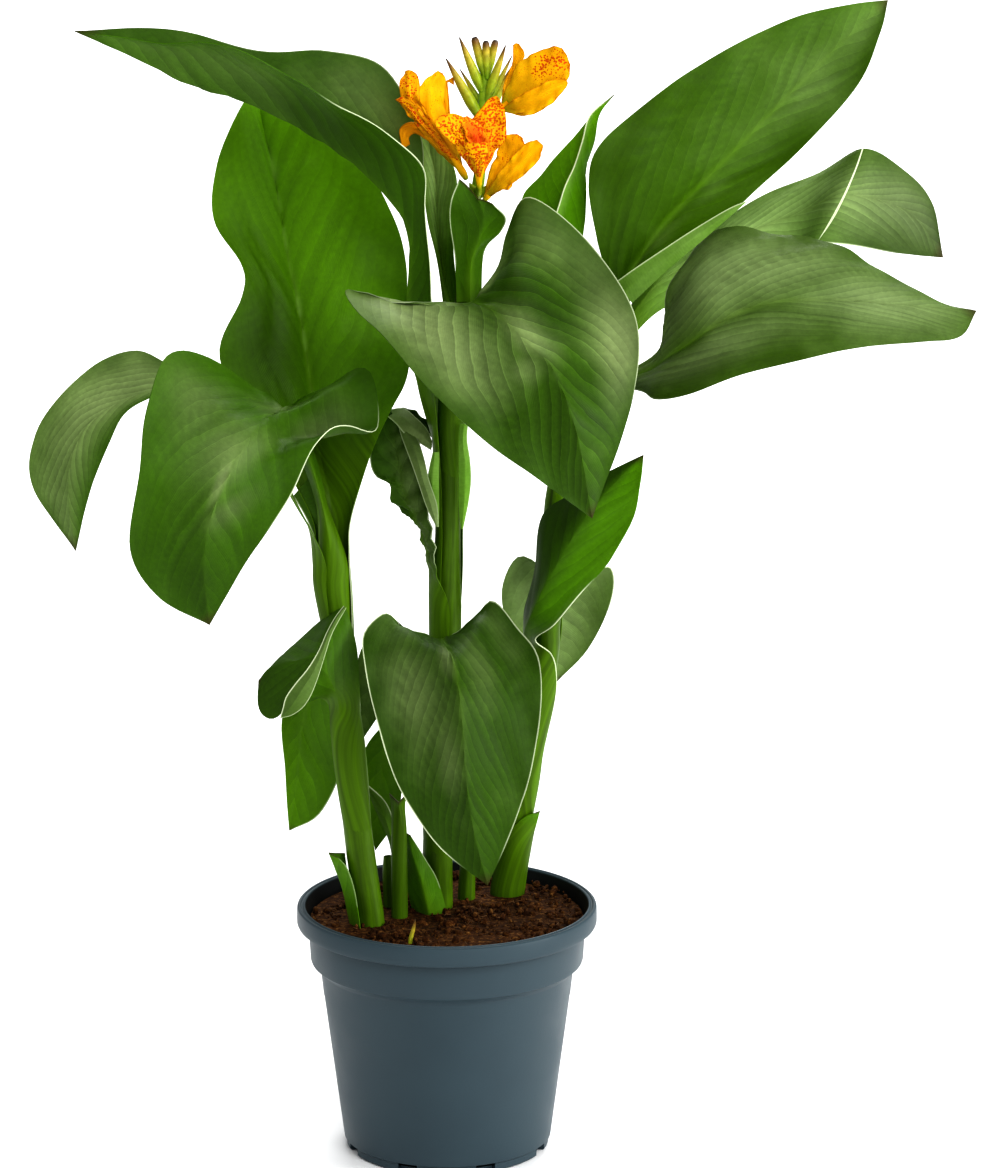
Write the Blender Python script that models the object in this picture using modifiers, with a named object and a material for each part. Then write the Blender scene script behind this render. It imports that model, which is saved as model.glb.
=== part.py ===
"""Canna lily in its nursery pot: three leafy stems, small shoots, four blooms.

Metres, +Z up. The front of the plant looks along -Y. The origin is the middle
of the pot's flat underside. The tables below hold millimetres.

Every leaf is lofted through stations. A station is (rib, left edge, right edge),
and the rings before it wrap the leaf's sheath round its stem.
"""
import math

import bmesh
import bpy
import numpy as np

MM = 0.001

# Pot: outer profile, measured from a 19 cm nursery pot.
POT_FOOT_R = 64.4
POT_HEIGHT = 159.0
POT_WALL = 1.8
POT_FLOOR = 2.5
COLLAR_R = 86.5
COLLAR_LOW = 124.0
RIM_R = 95.0
RIM_LOW = 146.0
POT_SIDES = 64
SLOT_COUNT = 8
SLOT_WIDTH = 13.0
SLOT_HEIGHT = 6.0
SLOT_DEPTH = 5.0

SOIL_LOW = 2.9
SOIL_TOP = 150.0
SOIL_SIDES = 36
FIT_GAP = 0.4

LEAF_THICK = 1.1
PETAL_THICK = 0.9
STEM_SIDES_STEP = 2
STEM_IN_SOIL = 26.0

# Rows of cells: (across, along) for each kind of blade.
CELLS_LEAF = (8, 13)
CELLS_SMALL = (6, 6)
CELLS_PETAL = (4, 5)
SMALL_BLADES = (
    "sheath_left", "sheath_middle", "sheath_right", "sheath_shoot",
    "leaf_shoot", "leaf_low_behind", "leaf_mid_behind", "bract_back", "bract_front",
)

# Stems: (x, y, z, radius) from the ground up.
STEMS = {
    "left": (
        (-48, -15, 150, 9.0),
        (-54, -12, 195, 9.0),
        (-59, -10, 242, 8.7),
        (-64, -8, 292, 8.3),
        (-68, -7, 350, 7.5),
        (-70, -6, 383, 6.6),
        (-71, -6, 391, 5.0),
    ),
    "middle": (
        (-6, 20, 150, 9.6),
        (-6, 20, 188, 9.6),
        (-3, 18, 248, 9.3),
        (0, 16, 320, 9.0),
        (0, 15, 349, 9.6),
        (1, 15, 365, 8.0),
        (2, 14, 398, 7.0),
        (3, 13, 462, 6.8),
        (6, 11, 506, 6.6),
        (13, 9, 550, 6.2),
        (15, 9, 581, 5.2),
        (17, 8, 603, 3.8),
    ),
    "right": (
        (38, 50, 149, 8.8),
        (43, 49, 186, 8.8),
        (47, 47, 220, 8.8),
        (51, 45, 247, 8.5),
        (58, 42, 280, 8.3),
        (63, 40, 314, 8.2),
        (64, 38, 335, 8.0),
        (68, 35, 374, 7.6),
        (69, 32, 413, 7.2),
        (79, 28, 465, 6.2),
        (82, 27, 479, 4.6),
    ),
    "shoot": (
        (-30, -1, 150, 3.6),
        (-30, -1, 194, 3.6),
        (-30, -1, 212, 3.0),
    ),
    "bud_shoot": (
        (12, 38, 149, 5.7),
        (13, 40, 175, 5.0),
        (14, 42, 208, 2.4),
    ),
    "low_shoot": (
        (-36, 22, 148, 5.0),
        (-37, 22, 172, 4.4),
        (-38, 22, 183, 2.6),
    ),
}

# Leaves: rings are (height, half wrap in degrees, facing in degrees, distance off the
# stem), rows are (rib, left edge, right edge) from the stem to the tip, and bow is how
# far the left and right halves belly out.
LEAVES = {
    "leaf_top_left": {
        "stem": "middle", "bow": (5, -6),
        "rings": (
            (369, 112, 130, 1.5), (398, 112, 127, 1.6), (436, 105, 130, 3.4),
        ),
        "rows": (
            ((-15, 12, 481), (-4, 30, 479), (-6, -6, 482)),
            ((-23, 5, 532), (-11, 27, 531), (-7, -13, 534)),
            ((-22, -10, 589), (-13, 12, 596), (-12, -28, 606)),
            ((-44, -15, 622), (-16, 17, 647), (-16, -46, 641)),
            ((-75, -18, 647), (-37, 25, 685), (-49, -53, 664)),
            ((-117, -19, 669), (-73, 22, 696), (-87, -53, 687)),
            ((-153, -21, 681), (-111, 12, 697), (-128, -48, 707)),
            ((-186, -21, 697), (-169, -1, 712), (-171, -35, 708)),
            ((-222, -21, 713), (-222, -21, 713), (-222, -21, 713)),
        ),
    },
    "leaf_tall_left": {
        "stem": "left", "bow": (3, 3),
        "rings": (
            (346, -108, 84, 4.2), (363, -104, 85, 4.4), (383, -98, 87, 5.4),
            (391, -98, 88, 8.0), (391, -98, 88, 13.0),
        ),
        "rows": (
            ((-80, 22, 453), (-113, -2, 465), (-42, -4, 461)),
            ((-84, 29, 484), (-140, 12, 508), (-26, 12, 488)),
            ((-89, 38, 517), (-126, 27, 543), (-22, 23, 513)),
            ((-93, 46, 538), (-127, 38, 560), (-24, 32, 540)),
            ((-99, 57, 562), (-144, 48, 588), (-25, 44, 562)),
            ((-104, 68, 591), (-143, 60, 620), (-33, 56, 589)),
            ((-110, 78, 621), (-130, 74, 651), (-51, 70, 617)),
            ((-116, 86, 646), (-124, 84, 660), (-84, 82, 645)),
            ((-119, 93, 668), (-119, 93, 668), (-119, 93, 668)),
        ),
    },
    "leaf_far_left": {
        "stem": "left", "bow": (3, 3),
        "rings": ((364, 26, 222, 6.0), (383, 26, 226, 6.6),),
        "rows": (
            ((-82, -22, 403), (-84, -19, 405), (-80, -26, 401)),
            ((-91, -18, 419), (-92, -15, 422), (-89, -23, 417)),
            ((-113, -11, 456), (-113, -7, 461), (-115, -16, 454)),
            ((-149, 15, 479), (-152, 23, 486), (-151, 10, 475)),
            ((-177, 23, 485), (-176, 36, 500), (-176, 16, 482)),
            ((-194, 24, 481), (-195, 44, 506), (-188, 16, 479)),
            ((-213, 24, 471), (-218, 42, 498), (-201, 16, 469)),
            ((-227, 25, 457), (-243, 40, 476), (-210, 18, 452)),
            ((-235, 27, 436), (-258, 38, 452), (-217, 22, 435)),
            ((-237, 32, 410), (-260, 39, 420), (-225, 29, 413)),
            ((-234, 41, 378), (-234, 41, 378), (-234, 41, 378)),
        ),
    },
    "leaf_front_left": {
        "stem": "left", "bow": (4, 4),
        "rings": ((364, 105, 270, 1.9), (383, 95, 270, 2.1),),
        "rows": (
            ((-76, -18, 421), (-80, -10, 419), (-73, -10, 419)),
            ((-85, -28, 456), (-90, -21, 455), (-81, -20, 456)),
            ((-97, -40, 485), (-102, -37, 489), (-92, -34, 486)),
            ((-101, -52, 486), (-117, -32, 498), (-74, -12, 493)),
            ((-108, -64, 485), (-145, -47, 519), (-48, -5, 502)),
            ((-114, -82, 480), (-166, -76, 525), (-41, -21, 471)),
            ((-121, -95, 470), (-176, -98, 499), (-57, -50, 476)),
            ((-131, -108, 452), (-181, -111, 463), (-76, -76, 474)),
            ((-140, -111, 429), (-187, -111, 414), (-92, -95, 443)),
            ((-144, -103, 400), (-171, -101, 382), (-118, -95, 404)),
            ((-142, -88, 362), (-142, -88, 362), (-142, -88, 362)),
        ),
    },
    "leaf_front_middle": {
        "stem": "middle", "bow": (4, 5),
        "rings": ((471, 125, 280, 1.6), (503, 95, 280, 1.6),),
        "rows": (
            ((14, -6, 533), (8, -3, 532), (19, -1, 533)),
            ((15, -19, 547), (4, -18, 547), (20, -16, 550)),
            ((22, -31, 549), (-24, -19, 548), (30, -9, 565)),
            ((29, -42, 547), (-61, -6, 552), (38, -1, 588)),
            ((40, -55, 539), (-39, -46, 534), (52, 2, 609)),
            ((52, -67, 529), (-8, -72, 503), (90, -9, 580)),
            ((65, -79, 518), (22, -85, 477), (116, -36, 541)),
            ((79, -92, 483), (59, -92, 451), (113, -69, 495)),
            ((89, -88, 428), (89, -88, 428), (89, -88, 428)),
        ),
    },
    "leaf_top_right": {
        "stem": "right", "bow": (4, -9),
        "rings": ((466, -48, 330, 1.7), (479, -46, 330, 2.2),),
        "rows": (
            ((98, 18, 524), (92, 20, 526), (104, 12, 521)),
            ((109, 21, 548), (98, 19, 556), (116, 9, 549)),
            ((119, 25, 566), (93, 19, 582), (123, 9, 568)),
            ((135, 29, 588), (88, 21, 615), (144, 9, 579)),
            ((158, 33, 612), (96, 25, 639), (166, 15, 590)),
            ((185, 38, 639), (133, 32, 670), (195, 26, 613)),
            ((209, 43, 663), (173, 39, 695), (223, 35, 638)),
            ((237, 48, 691), (216, 46, 714), (254, 44, 672)),
            ((257, 53, 709), (250, 52, 721), (268, 52, 703)),
            ((273, 58, 723), (273, 58, 723), (273, 58, 723)),
        ),
    },
    "leaf_back_right": {
        "stem": "right", "bow": (3, 3),
        "rings": ((463, -26, 56, 1.7), (479, -26, 56, 2.2),),
        "rows": (
            ((124, 44, 540), (126, 51, 549), (127, 46, 526)),
            ((152, 57, 558), (159, 67, 573), (159, 60, 538)),
            ((190, 62, 578), (200, 72, 600), (191, 62, 559)),
            ((221, 56, 591), (232, 66, 614), (216, 56, 567)),
            ((246, 43, 604), (259, 50, 632), (231, 43, 575)),
            ((276, 64, 596), (289, 71, 613), (265, 64, 567)),
            ((297, 75, 582), (305, 80, 593), (290, 72, 562)),
            ((313, 84, 558), (313, 84, 558), (313, 84, 558)),
        ),
    },
    "leaf_far_right": {
        "stem": "right", "bow": (5, 4),
        "rings": ((413, -70, 320, 1.7), (436, -58, 320, 1.9),),
        "rows": (
            ((94, 16, 479), (93, 23, 481), (94, 9, 476)),
            ((108, 2, 494), (108, 6, 497), (108, 1, 489)),
            ((126, -11, 505), (132, -8, 517), (121, -25, 493)),
            ((136, -20, 514), (136, -1, 543), (128, -42, 492)),
            ((150, -28, 525), (144, 6, 566), (150, -52, 498)),
            ((168, -35, 539), (164, 9, 587), (180, -57, 510)),
            ((194, -38, 550), (199, -1, 588), (214, -59, 519)),
            ((227, -40, 553), (238, -15, 582), (250, -59, 527)),
            ((263, -40, 551), (273, -28, 564), (288, -52, 529)),
            ((297, -40, 548), (302, -37, 550), (312, -45, 531)),
            ((322, -40, 546), (322, -40, 546), (322, -40, 546)),
        ),
    },
    "leaf_rolled": {
        "stem": "right", "bow": (3, -4),
        "rings": ((465, 46, 165, 1.7), (479, 44, 165, 2.2),),
        "rows": (
            ((81, 34, 533), (71, 42, 534), (78, 26, 533)),
            ((85, 35, 577), (51, 47, 576), (66, 25, 577)),
            ((87, 37, 599), (48, 51, 601), (71, 25, 606)),
            ((87, 39, 621), (62, 51, 619), (79, 27, 623)),
            ((92, 41, 638), (79, 47, 639), (84, 33, 639)),
            ((95, 44, 654), (89, 47, 651), (89, 40, 654)),
            ((104, 46, 666), (104, 46, 666), (104, 46, 666)),
        ),
    },
    "bract_front": {
        "stem": "middle", "bow": (-4, -4),
        "rings": (),
        "rows": (
            ((15, -3, 545), (7, 1, 544), (22, 2, 545)),
            ((16, -6, 570), (6, -2, 571), (24, -2, 576)),
            ((21, -9, 585), (3, -8, 595), (34, -8, 589)),
            ((24, -14, 600), (4, -15, 610), (37, -16, 599)),
            ((20, -17, 611), (9, -17, 623), (29, -19, 608)),
        ),
    },
    "bract_back": {
        "stem": "middle", "bow": (3, 3),
        "rings": (),
        "rows": (
            ((6, 22, 528), (0, 16, 529), (11, 21, 529)),
            ((-2, 28, 564), (-5, 20, 566), (5, 22, 568)),
            ((-5, 30, 590), (-11, 22, 593), (5, 24, 596)),
            ((-6, 32, 615), (-14, 25, 617), (7, 26, 616)),
            ((-10, 32, 637), (-17, 28, 637), (0, 28, 635)),
            ((-15, 30, 657), (-15, 30, 657), (-15, 30, 657)),
        ),
    },
    "leaf_low_middle": {
        "stem": "middle", "bow": (4, 4),
        "rings": (
            (227, 150, 275, 1.9), (265, 140, 275, 1.9), (287, 110, 275, 1.9),
            (306, 72, 275, 3.2),
        ),
        "rows": (
            ((-3, -6, 332), (-9, -1, 331), (2, -1, 331)),
            ((0, -28, 334), (-21, -13, 340), (11, -9, 340)),
            ((3, -38, 332), (-34, -9, 348), (25, -4, 353)),
            ((5, -47, 328), (-41, -13, 349), (32, -6, 355)),
            ((7, -55, 320), (-51, -25, 340), (44, -16, 343)),
            ((9, -64, 310), (-50, -40, 325), (57, -30, 328)),
            ((11, -71, 290), (-43, -54, 296), (59, -47, 302)),
            ((13, -76, 260), (-29, -64, 254), (53, -60, 263)),
            ((18, -74, 225), (-4, -67, 216), (40, -67, 224)),
            ((26, -67, 191), (26, -67, 191), (26, -67, 191)),
        ),
    },
    "leaf_low_right": {
        "stem": "right", "bow": (3, -3),
        "rings": (
            (221, 160, 200, 2.0), (247, 155, 202, 2.0), (281, 145, 205, 2.1),
            (300, 112, 210, 2.4), (314, 72, 214, 4.0),
        ),
        "rows": (
            ((49, 24, 328), (49, 34, 333), (56, 14, 327)),
            ((54, 8, 346), (51, 21, 354), (68, -5, 342)),
            ((63, -2, 368), (56, 16, 378), (86, -15, 367)),
            ((75, -7, 391), (60, 14, 407), (103, -18, 388)),
            ((89, -11, 415), (77, 6, 422), (115, -19, 411)),
            ((106, -12, 435), (99, -5, 438), (120, -18, 434)),
            ((122, -12, 451), (122, -12, 451), (122, -12, 451)),
        ),
    },
    "leaf_behind_right": {
        "stem": "right", "bow": (3, 3),
        "rings": ((320, -60, 88, 1.6), (339, -55, 88, 1.7),),
        "rows": (
            ((67, 56, 356), (63, 56, 357), (72, 56, 356)),
            ((66, 71, 348), (46, 57, 370), (88, 62, 359)),
            ((66, 85, 333), (35, 67, 348), (104, 72, 360)),
            ((67, 97, 313), (39, 85, 316), (105, 85, 335)),
            ((69, 108, 292), (53, 103, 290), (91, 103, 299)),
            ((71, 118, 273), (71, 118, 273), (71, 118, 273)),
        ),
    },
    "leaf_wavy": {
        "stem": "middle", "bow": (3, 2),
        "rings": ((324, 92, 185, 1.6), (352, 90, 187, 1.8),),
        "rows": (
            ((-11, 8, 376), (-10, 20, 377), (-6, -4, 373)),
            ((-16, 8, 402), (-22, 18, 406), (-9, -4, 395)),
            ((-22, 14, 417), (-34, 16, 418), (-11, 4, 413)),
            ((-27, 16, 434), (-45, 13, 435), (-14, 9, 431)),
            ((-31, 20, 451), (-47, 16, 448), (-16, 14, 449)),
            ((-30, 25, 463), (-40, 22, 463), (-20, 22, 458)),
            ((-21, 34, 469), (-31, 34, 471), (-14, 37, 458)),
            ((-5, 42, 454), (-10, 44, 459), (-4, 44, 445)),
            ((14, 49, 436), (14, 49, 436), (14, 49, 436)),
        ),
    },
    "leaf_curled": {
        "stem": "left", "bow": (0, 0),
        "rings": ((248, 150, 250, 1.5), (276, 135, 255, 1.6),),
        "rows": (
            ((-67, -26, 299), (-78, -16, 297), (-54, -11, 301)),
            ((-73, -37, 317), (-95, -37, 293), (-56, -12, 333)),
            ((-78, -46, 332), (-101, -44, 295), (-62, -24, 357)),
            ((-92, -37, 326), (-109, -39, 290), (-74, -15, 348)),
            ((-108, -28, 320), (-116, -33, 296), (-93, -15, 333)),
            ((-116, -26, 311), (-116, -26, 311), (-116, -26, 311)),
        ),
    },
    "leaf_behind_left": {
        "stem": "left", "bow": (3, 3),
        "rings": ((283, -45, 110, 1.7),),
        "rows": (
            ((-73, 9, 296), (-75, 9, 300), (-71, 9, 291)),
            ((-82, 19, 293), (-94, 16, 298), (-68, 14, 280)),
            ((-91, 28, 271), (-104, 23, 274), (-68, 23, 258)),
            ((-95, 33, 237), (-103, 31, 237), (-69, 31, 233)),
            ((-98, 34, 213), (-102, 34, 211), (-82, 33, 207)),
            ((-101, 35, 196), (-101, 35, 196), (-101, 35, 196)),
        ),
    },
    "leaf_low_behind": {
        "stem": "middle", "bow": (2, 2),
        "rings": (),
        "rows": (
            ((-11, 31, 256), (-12, 33, 261), (-11, 33, 250)),
            ((-22, 41, 268), (-26, 42, 271), (-21, 42, 261)),
            ((-34, 50, 261), (-42, 50, 260), (-28, 50, 248)),
            ((-42, 60, 232), (-55, 58, 238), (-29, 58, 223)),
            ((-45, 65, 204), (-54, 64, 208), (-33, 63, 196)),
            ((-47, 67, 173), (-47, 67, 173), (-47, 67, 173)),
        ),
    },
    "leaf_mid_behind": {
        "stem": "middle", "bow": (2, 2),
        "rings": (),
        "rows": (
            ((-10, 30, 290), (-11, 32, 295), (-10, 32, 284)),
            ((-23, 36, 308), (-27, 37, 313), (-22, 37, 303)),
            ((-36, 43, 314), (-48, 43, 320), (-29, 43, 304)),
            ((-47, 47, 298), (-57, 44, 305), (-35, 45, 286)),
            ((-52, 49, 276), (-57, 47, 279), (-43, 48, 270)),
            ((-55, 50, 251), (-55, 50, 251), (-55, 50, 251)),
        ),
    },
    "leaf_shoot": {
        "stem": "shoot", "bow": (2, 2),
        "rings": (),
        "rows": (
            ((-30, 9, 180), (-34, 12, 179), (-27, 12, 181)),
            ((-35, 9, 199), (-37, 12, 197), (-32, 12, 201)),
            ((-42, 9, 219), (-45, 11, 216), (-38, 11, 221)),
            ((-52, 9, 236), (-52, 9, 236), (-52, 9, 236)),
        ),
    },
    "sheath_left": {
        "stem": "left", "bow": (2, 2),
        "rings": (),
        "rows": (
            ((-60, -15, 147), (-56, -3, 145), (-54, -26, 149)),
            ((-65, -15, 172), (-61, -2, 169), (-57, -25, 173)),
            ((-70, -14, 186), (-64, -5, 189), (-62, -23, 188)),
            ((-74, -13, 196), (-64, -8, 194), (-68, -17, 194)),
        ),
    },
    "sheath_middle": {
        "stem": "middle", "bow": (3, 3),
        "rings": (),
        "rows": (
            ((-11, 2, 149), (-22, 14, 148), (0, 7, 150)),
            ((-16, 2, 172), (-25, 14, 166), (-6, 6, 172)),
            ((-21, 4, 187), (-26, 14, 183), (-13, 6, 185)),
            ((-25, 9, 202), (-27, 11, 200), (-23, 8, 201)),
        ),
    },
    "sheath_right": {
        "stem": "right", "bow": (2, 2),
        "rings": (
            (150, 150, 345, 2.2), (168, 145, 345, 2.2), (187, 118, 345, 2.8),
        ),
        "rows": (
            ((57, 43, 199), (47, 36, 203), (52, 58, 193)),
            ((59, 42, 207), (57, 39, 207), (58, 45, 205)),
        ),
    },
    "sheath_shoot": {
        "stem": "shoot", "bow": (1, 1),
        "rings": (
            (150, -150, 110, 1.3), (181, -150, 110, 1.3), (208, -150, 110, 1.4),
        ),
        "rows": (
            ((-30, 6, 226), (-37, -4, 230), (-25, -5, 230)),
        ),
    },
}

# Petals: stations as for the leaves, from the tube outward.
PETALS = {
    "flower_left": (
        (
            ((9.3, -6, 629.2), (7.4, -6, 629.8), (11.1, -7, 628.1)),
            ((0.3, -12, 644.7), (-5.8, -13, 647.9), (6.9, -10, 649.3)),
            ((-8.1, -15, 660.3), (-16, -15, 663.4), (0.9, -9, 662.6)),
            ((-8.7, -16, 671.4), (-17.1, -17, 671.5), (-0.3, -8, 671)),
            ((-8.1, -14, 679), (-15.3, -18, 678.3), (0.3, -7, 679.3)),
            ((-4.5, -12, 684.8), (-11.7, -15, 681.6), (0.9, -8, 683.7)),
            ((-3.9, -9, 687.5), (-5.1, -10, 687), (-2.7, -9, 686.9)),
        ),
        (
            ((6.2, -6, 632.9), (5, -5, 633.3), (7.5, -7, 633)),
            ((-4, -9, 647.4), (-6.5, -8, 646.6), (-0.9, -11, 649.5)),
            ((-14.8, -14, 659.6), (-19.7, -13, 659.5), (-10.5, -16, 663.5)),
            ((-20.1, -18, 670.4), (-25, -16, 669.6), (-14.7, -19, 673)),
            ((-21.3, -19, 678.4), (-26.8, -16, 678.1), (-14.7, -18, 679.5)),
            ((-21.3, -16, 684.1), (-25.6, -13, 683.7), (-15.9, -15, 684.6)),
            ((-21.4, -12, 688.4), (-23.8, -11, 687.7), (-19.6, -12, 687.8)),
        ),
        (
            ((6.3, -9, 632.7), (4.4, -8, 632.6), (8.1, -10, 633.5)),
            ((-5.1, -17, 647.3), (-8.2, -15, 647), (-2.7, -18, 649.2)),
            ((-14.1, -20, 658), (-18.4, -18, 657.7), (-11.1, -21, 660.5)),
            ((-20.6, -23, 666.9), (-24.3, -21, 666), (-17, -24, 669.4)),
            ((-28.4, -24, 672.4), (-29.1, -23, 672.3), (-26, -25, 673.8)),
        ),
        (
            ((9.9, -3, 626.9), (8, -2, 626.2), (11.7, -4, 626.5)),
            ((-2.3, -3, 638.6), (-4.7, -2, 637.8), (0.2, -4, 640.5)),
            ((-12, -4, 649.7), (-14.4, -3, 649), (-9.5, -5, 652.3)),
            ((-17.4, -5, 656.6), (-18.6, -5, 655.9), (-16.2, -5, 657.2)),
        ),
        (
            ((6.8, -3.5, 630.7), (5.6, -3, 631.2), (8, -3.5, 629.5)),
            ((-7.8, 1, 643.5), (-9.6, 2, 645.8), (-6.6, 0, 641.2)),
            ((-18.2, 4, 651), (-19.4, 4, 654.7), (-17, 4, 647.4)),
            ((-24.9, 3, 648.1), (-27.3, 3, 650.6), (-21.8, 3, 645.7)),
            ((-23.6, 0, 640), (-26.1, 0, 639.4), (-21.2, 0, 641.8)),
        ),
        (
            ((8.7, -4.4, 630.2), (7.4, -4.4, 630.8), (10.5, -5, 629.1)),
            ((2, -2, 650.7), (0.2, -2, 650), (4.4, -2, 651.9)),
            ((0.2, 0, 668.7), (-2.2, 0, 668.1), (2.6, 0, 669.3)),
            ((0.2, 2, 678.2), (-2.8, 2, 677), (2, 2, 679.4)),
            ((5.7, 3, 679.9), (5.1, 3, 682.3), (5.6, 3, 677.4)),
        ),
    ),
    "flower_front": (
        (
            ((20.9, -14, 623), (19.6, -14, 623.7), (22.1, -15, 623.2)),
            ((14.3, -23, 640.2), (10, -22, 638.2), (19.1, -24, 644)),
            ((9.5, -29, 650.1), (4.7, -28, 647), (15.5, -28, 655.4)),
            ((4.1, -33, 657.3), (-1.9, -33, 653.7), (11.3, -30, 662.4)),
            ((-0.6, -35, 661.2), (-5.4, -36, 658.4), (4.8, -33, 664.6)),
            ((-4.2, -35, 662.4), (-5.4, -36, 661.4), (-1.2, -35, 664.3)),
        ),
        (
            ((21.5, -13, 622.9), (20.2, -13, 623.5), (22.7, -13, 623.5)),
            ((25.1, -17, 639.3), (19.1, -19, 640.2), (31.8, -15, 640.9)),
            ((27, -19, 648.7), (17.3, -22, 648), (37.2, -17, 648.5)),
            ((27.6, -21, 658.1), (16.1, -24, 657.3), (37.2, -19, 657.9)),
            ((28.2, -23, 665.7), (19.1, -26, 663.6), (36.6, -21, 664.8)),
            ((30, -26, 671.5), (24.6, -27, 670.4), (34.8, -24, 669.4)),
            ((31.2, -28, 674.8), (29.4, -28, 674.2), (33, -27, 673.4)),
        ),
        (
            ((21.5, -16, 624.6), (20.3, -16, 625.2), (22.7, -16, 625.2)),
            ((21.5, -24, 640.3), (16.1, -27, 642), (27, -22, 641.3)),
            ((19.7, -27, 650.5), (13.1, -31, 651), (26.4, -24, 648.8)),
            ((14.9, -29, 658), (10.7, -31, 658.3), (21.5, -26, 657.6)),
            ((11.9, -30, 662.4), (10.8, -31, 661.9), (13.7, -29, 662.8)),
        ),
        (
            ((20.9, -18, 624.2), (19.7, -18, 624.9), (22.1, -18, 624.9)),
            ((20.3, -29, 635), (15.5, -28, 636.7), (24.6, -28, 636.1)),
            ((19.2, -35, 641.3), (12.5, -33, 642.2), (26.4, -33, 642.2)),
            ((19.2, -37, 647.6), (13.2, -35, 648), (26.4, -35, 648)),
        ),
    ),
    "flower_upper": (
        (
            ((34.8, 6, 663), (34.2, 6, 664.8), (36, 5, 660.7)),
            ((42.1, 1, 669.2), (38.5, 5, 677.2), (45.1, -4, 660.7)),
            ((50.6, -3, 677), (45.1, 4, 690.7), (57.8, -9, 664.4)),
            ((59.6, -6, 684.7), (54.2, 1, 696.5), (67.5, -12, 673.3)),
            ((68.1, -8, 691.6), (63.9, -2, 701.1), (74.7, -11, 682.9)),
            ((74.1, -8, 697), (71.1, -5, 700.9), (75.9, -9, 691.1)),
        ),
        (
            ((35.4, 7, 664.1), (34.2, 7, 664.1), (36.6, 7, 664.7)),
            ((39.1, 9, 677.3), (36, 9, 677.3), (42.7, 8, 679.2)),
            ((43.3, 11, 689.2), (40.9, 11, 689.2), (47.6, 9, 691.3)),
            ((44.6, 13, 696.3), (41.5, 13, 696.3), (48.2, 11, 696.5)),
            ((43.3, 13, 701.8), (41.5, 13, 700.6), (45.2, 13, 701.2)),
        ),
        (
            ((35.4, 4, 662.1), (34.8, 4, 662.7), (36, 3, 661.6)),
            ((45.7, -4, 665), (43.3, -3, 670.3), (48.2, -6, 659.7)),
            ((57.2, -10, 671.2), (54.2, -8, 677), (60.2, -12, 664.8)),
            ((66.8, -13, 677.1), (64.4, -11, 682.3), (69.3, -14, 672.9)),
            ((74.7, -13, 680.7), (73.5, -13, 683.1), (74.1, -13, 678.9)),
        ),
    ),
    "flower_lower": (
        (
            ((25.7, 1, 610.4), (24.4, 1, 611.6), (26.9, 0, 609.9)),
            ((31.2, -4, 622.8), (26.9, -3, 624.5), (36.6, -6, 620.6)),
            ((37.9, -8, 633.8), (32.4, -5, 637.6), (44.5, -11, 631.2)),
            ((41.5, -10, 642), (34.8, -7, 645.9), (48.1, -13, 639.4)),
            ((43.9, -11, 649.5), (40.3, -9, 649.2), (47.5, -12, 647.2)),
        ),
        (
            ((26.3, -1, 610.7), (25.1, -1, 611.9), (27.5, -1, 610.1)),
            ((35.4, -7, 620.2), (33, -6, 624.9), (37.9, -8, 616.6)),
            ((44.5, -12, 629.5), (41.5, -12, 636.2), (48.2, -13, 624.7)),
            ((52.4, -15, 637.8), (49.3, -15, 644.5), (56.6, -16, 633.7)),
            ((59.6, -16, 643.5), (56, -16, 646.5), (59.6, -17, 640.6)),
        ),
        (
            ((26.3, 1, 609.1), (25.7, 1, 610.4), (26.9, 0, 608.7)),
            ((33, -2, 615.7), (31.8, -2, 618.8), (34.2, -3, 614)),
            ((37.9, -4, 617.9), (37.3, -4, 621.6), (38.5, -4, 614.2)),
            ((41.5, -4, 618.5), (40.9, -4, 620.3), (40.9, -4, 616.7)),
        ),
    ),
}
FLOWER_TUBES = {
    "flower_left": (
        (13, -3, 621, 1.5), (11, -5, 625, 2.4), (7, -8, 632, 2.2),
        (2, -10, 639, 1.0),
    ),
    "flower_front": (
        (21, -10, 616, 1.4), (21, -14, 623, 2.0), (21, -19, 630, 3.4),
        (20, -24, 637, 3.0),
    ),
    "flower_upper": (
        (33, 6, 662, 1.4), (35, 6, 663, 2.4), (39, 4, 667, 1.6),
    ),
    "flower_lower": (
        (24, 1, 607, 1.4), (26, 1, 610, 2.3), (29, -1, 616, 1.4),
    ),
}
SPIKE = (
    (18, 8, 606, 3.6), (20, 7, 615, 3.8), (22, 6, 631, 3.3), (23, 8, 655, 3.2),
    (24, 9, 669, 3.6), (25, 9, 686, 3.2), (26, 9, 700, 2.2),
)
BUDS = (
    ((23, 8, 654), (1, -2, 694), 3.7),
    ((24, 11, 662), (9, 14, 686), 1.9),
    ((24, 9, 670), (9, -2, 707), 3.3),
    ((25, 7, 667), (37, -1, 702), 3.0),
    ((26, 10, 664), (41, 14, 694), 2.0),
    ((27, 11, 659), (40, 16, 686), 2.8),
)
CALYXES = (
    ((20, 6, 608), (15, -1, 618), 3.0),
    ((20, 6, 608), (21, -9, 620), 2.6),
    ((21, 7, 608), (27, 2, 617), 2.6),
    ((24, 8, 653), (31, 6, 661), 2.8),
)
STUBS = (
    ((25, 8, 680), (18, 6, 706), 2.9),
    ((26, 6, 681), (25, 4, 704), 2.6),
    ((26, 9, 682), (31, 8, 704), 2.5),
)
SPROUT = ((-22, -56, 140, 0.9), (-22, -56, 152, 1.5), (-20, -56, 160, 1.2), (-19, -56, 166, 0.3))

# How a bud swells: (share of its length, share of its radius).
POINTED = ((0.0, 0.55), (0.3, 1.0), (0.6, 0.75), (0.85, 0.35), (1.0, 0.1))
BLUNT = ((0.0, 0.6), (0.4, 1.0), (0.9, 0.85), (1.0, 0.5))

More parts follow.
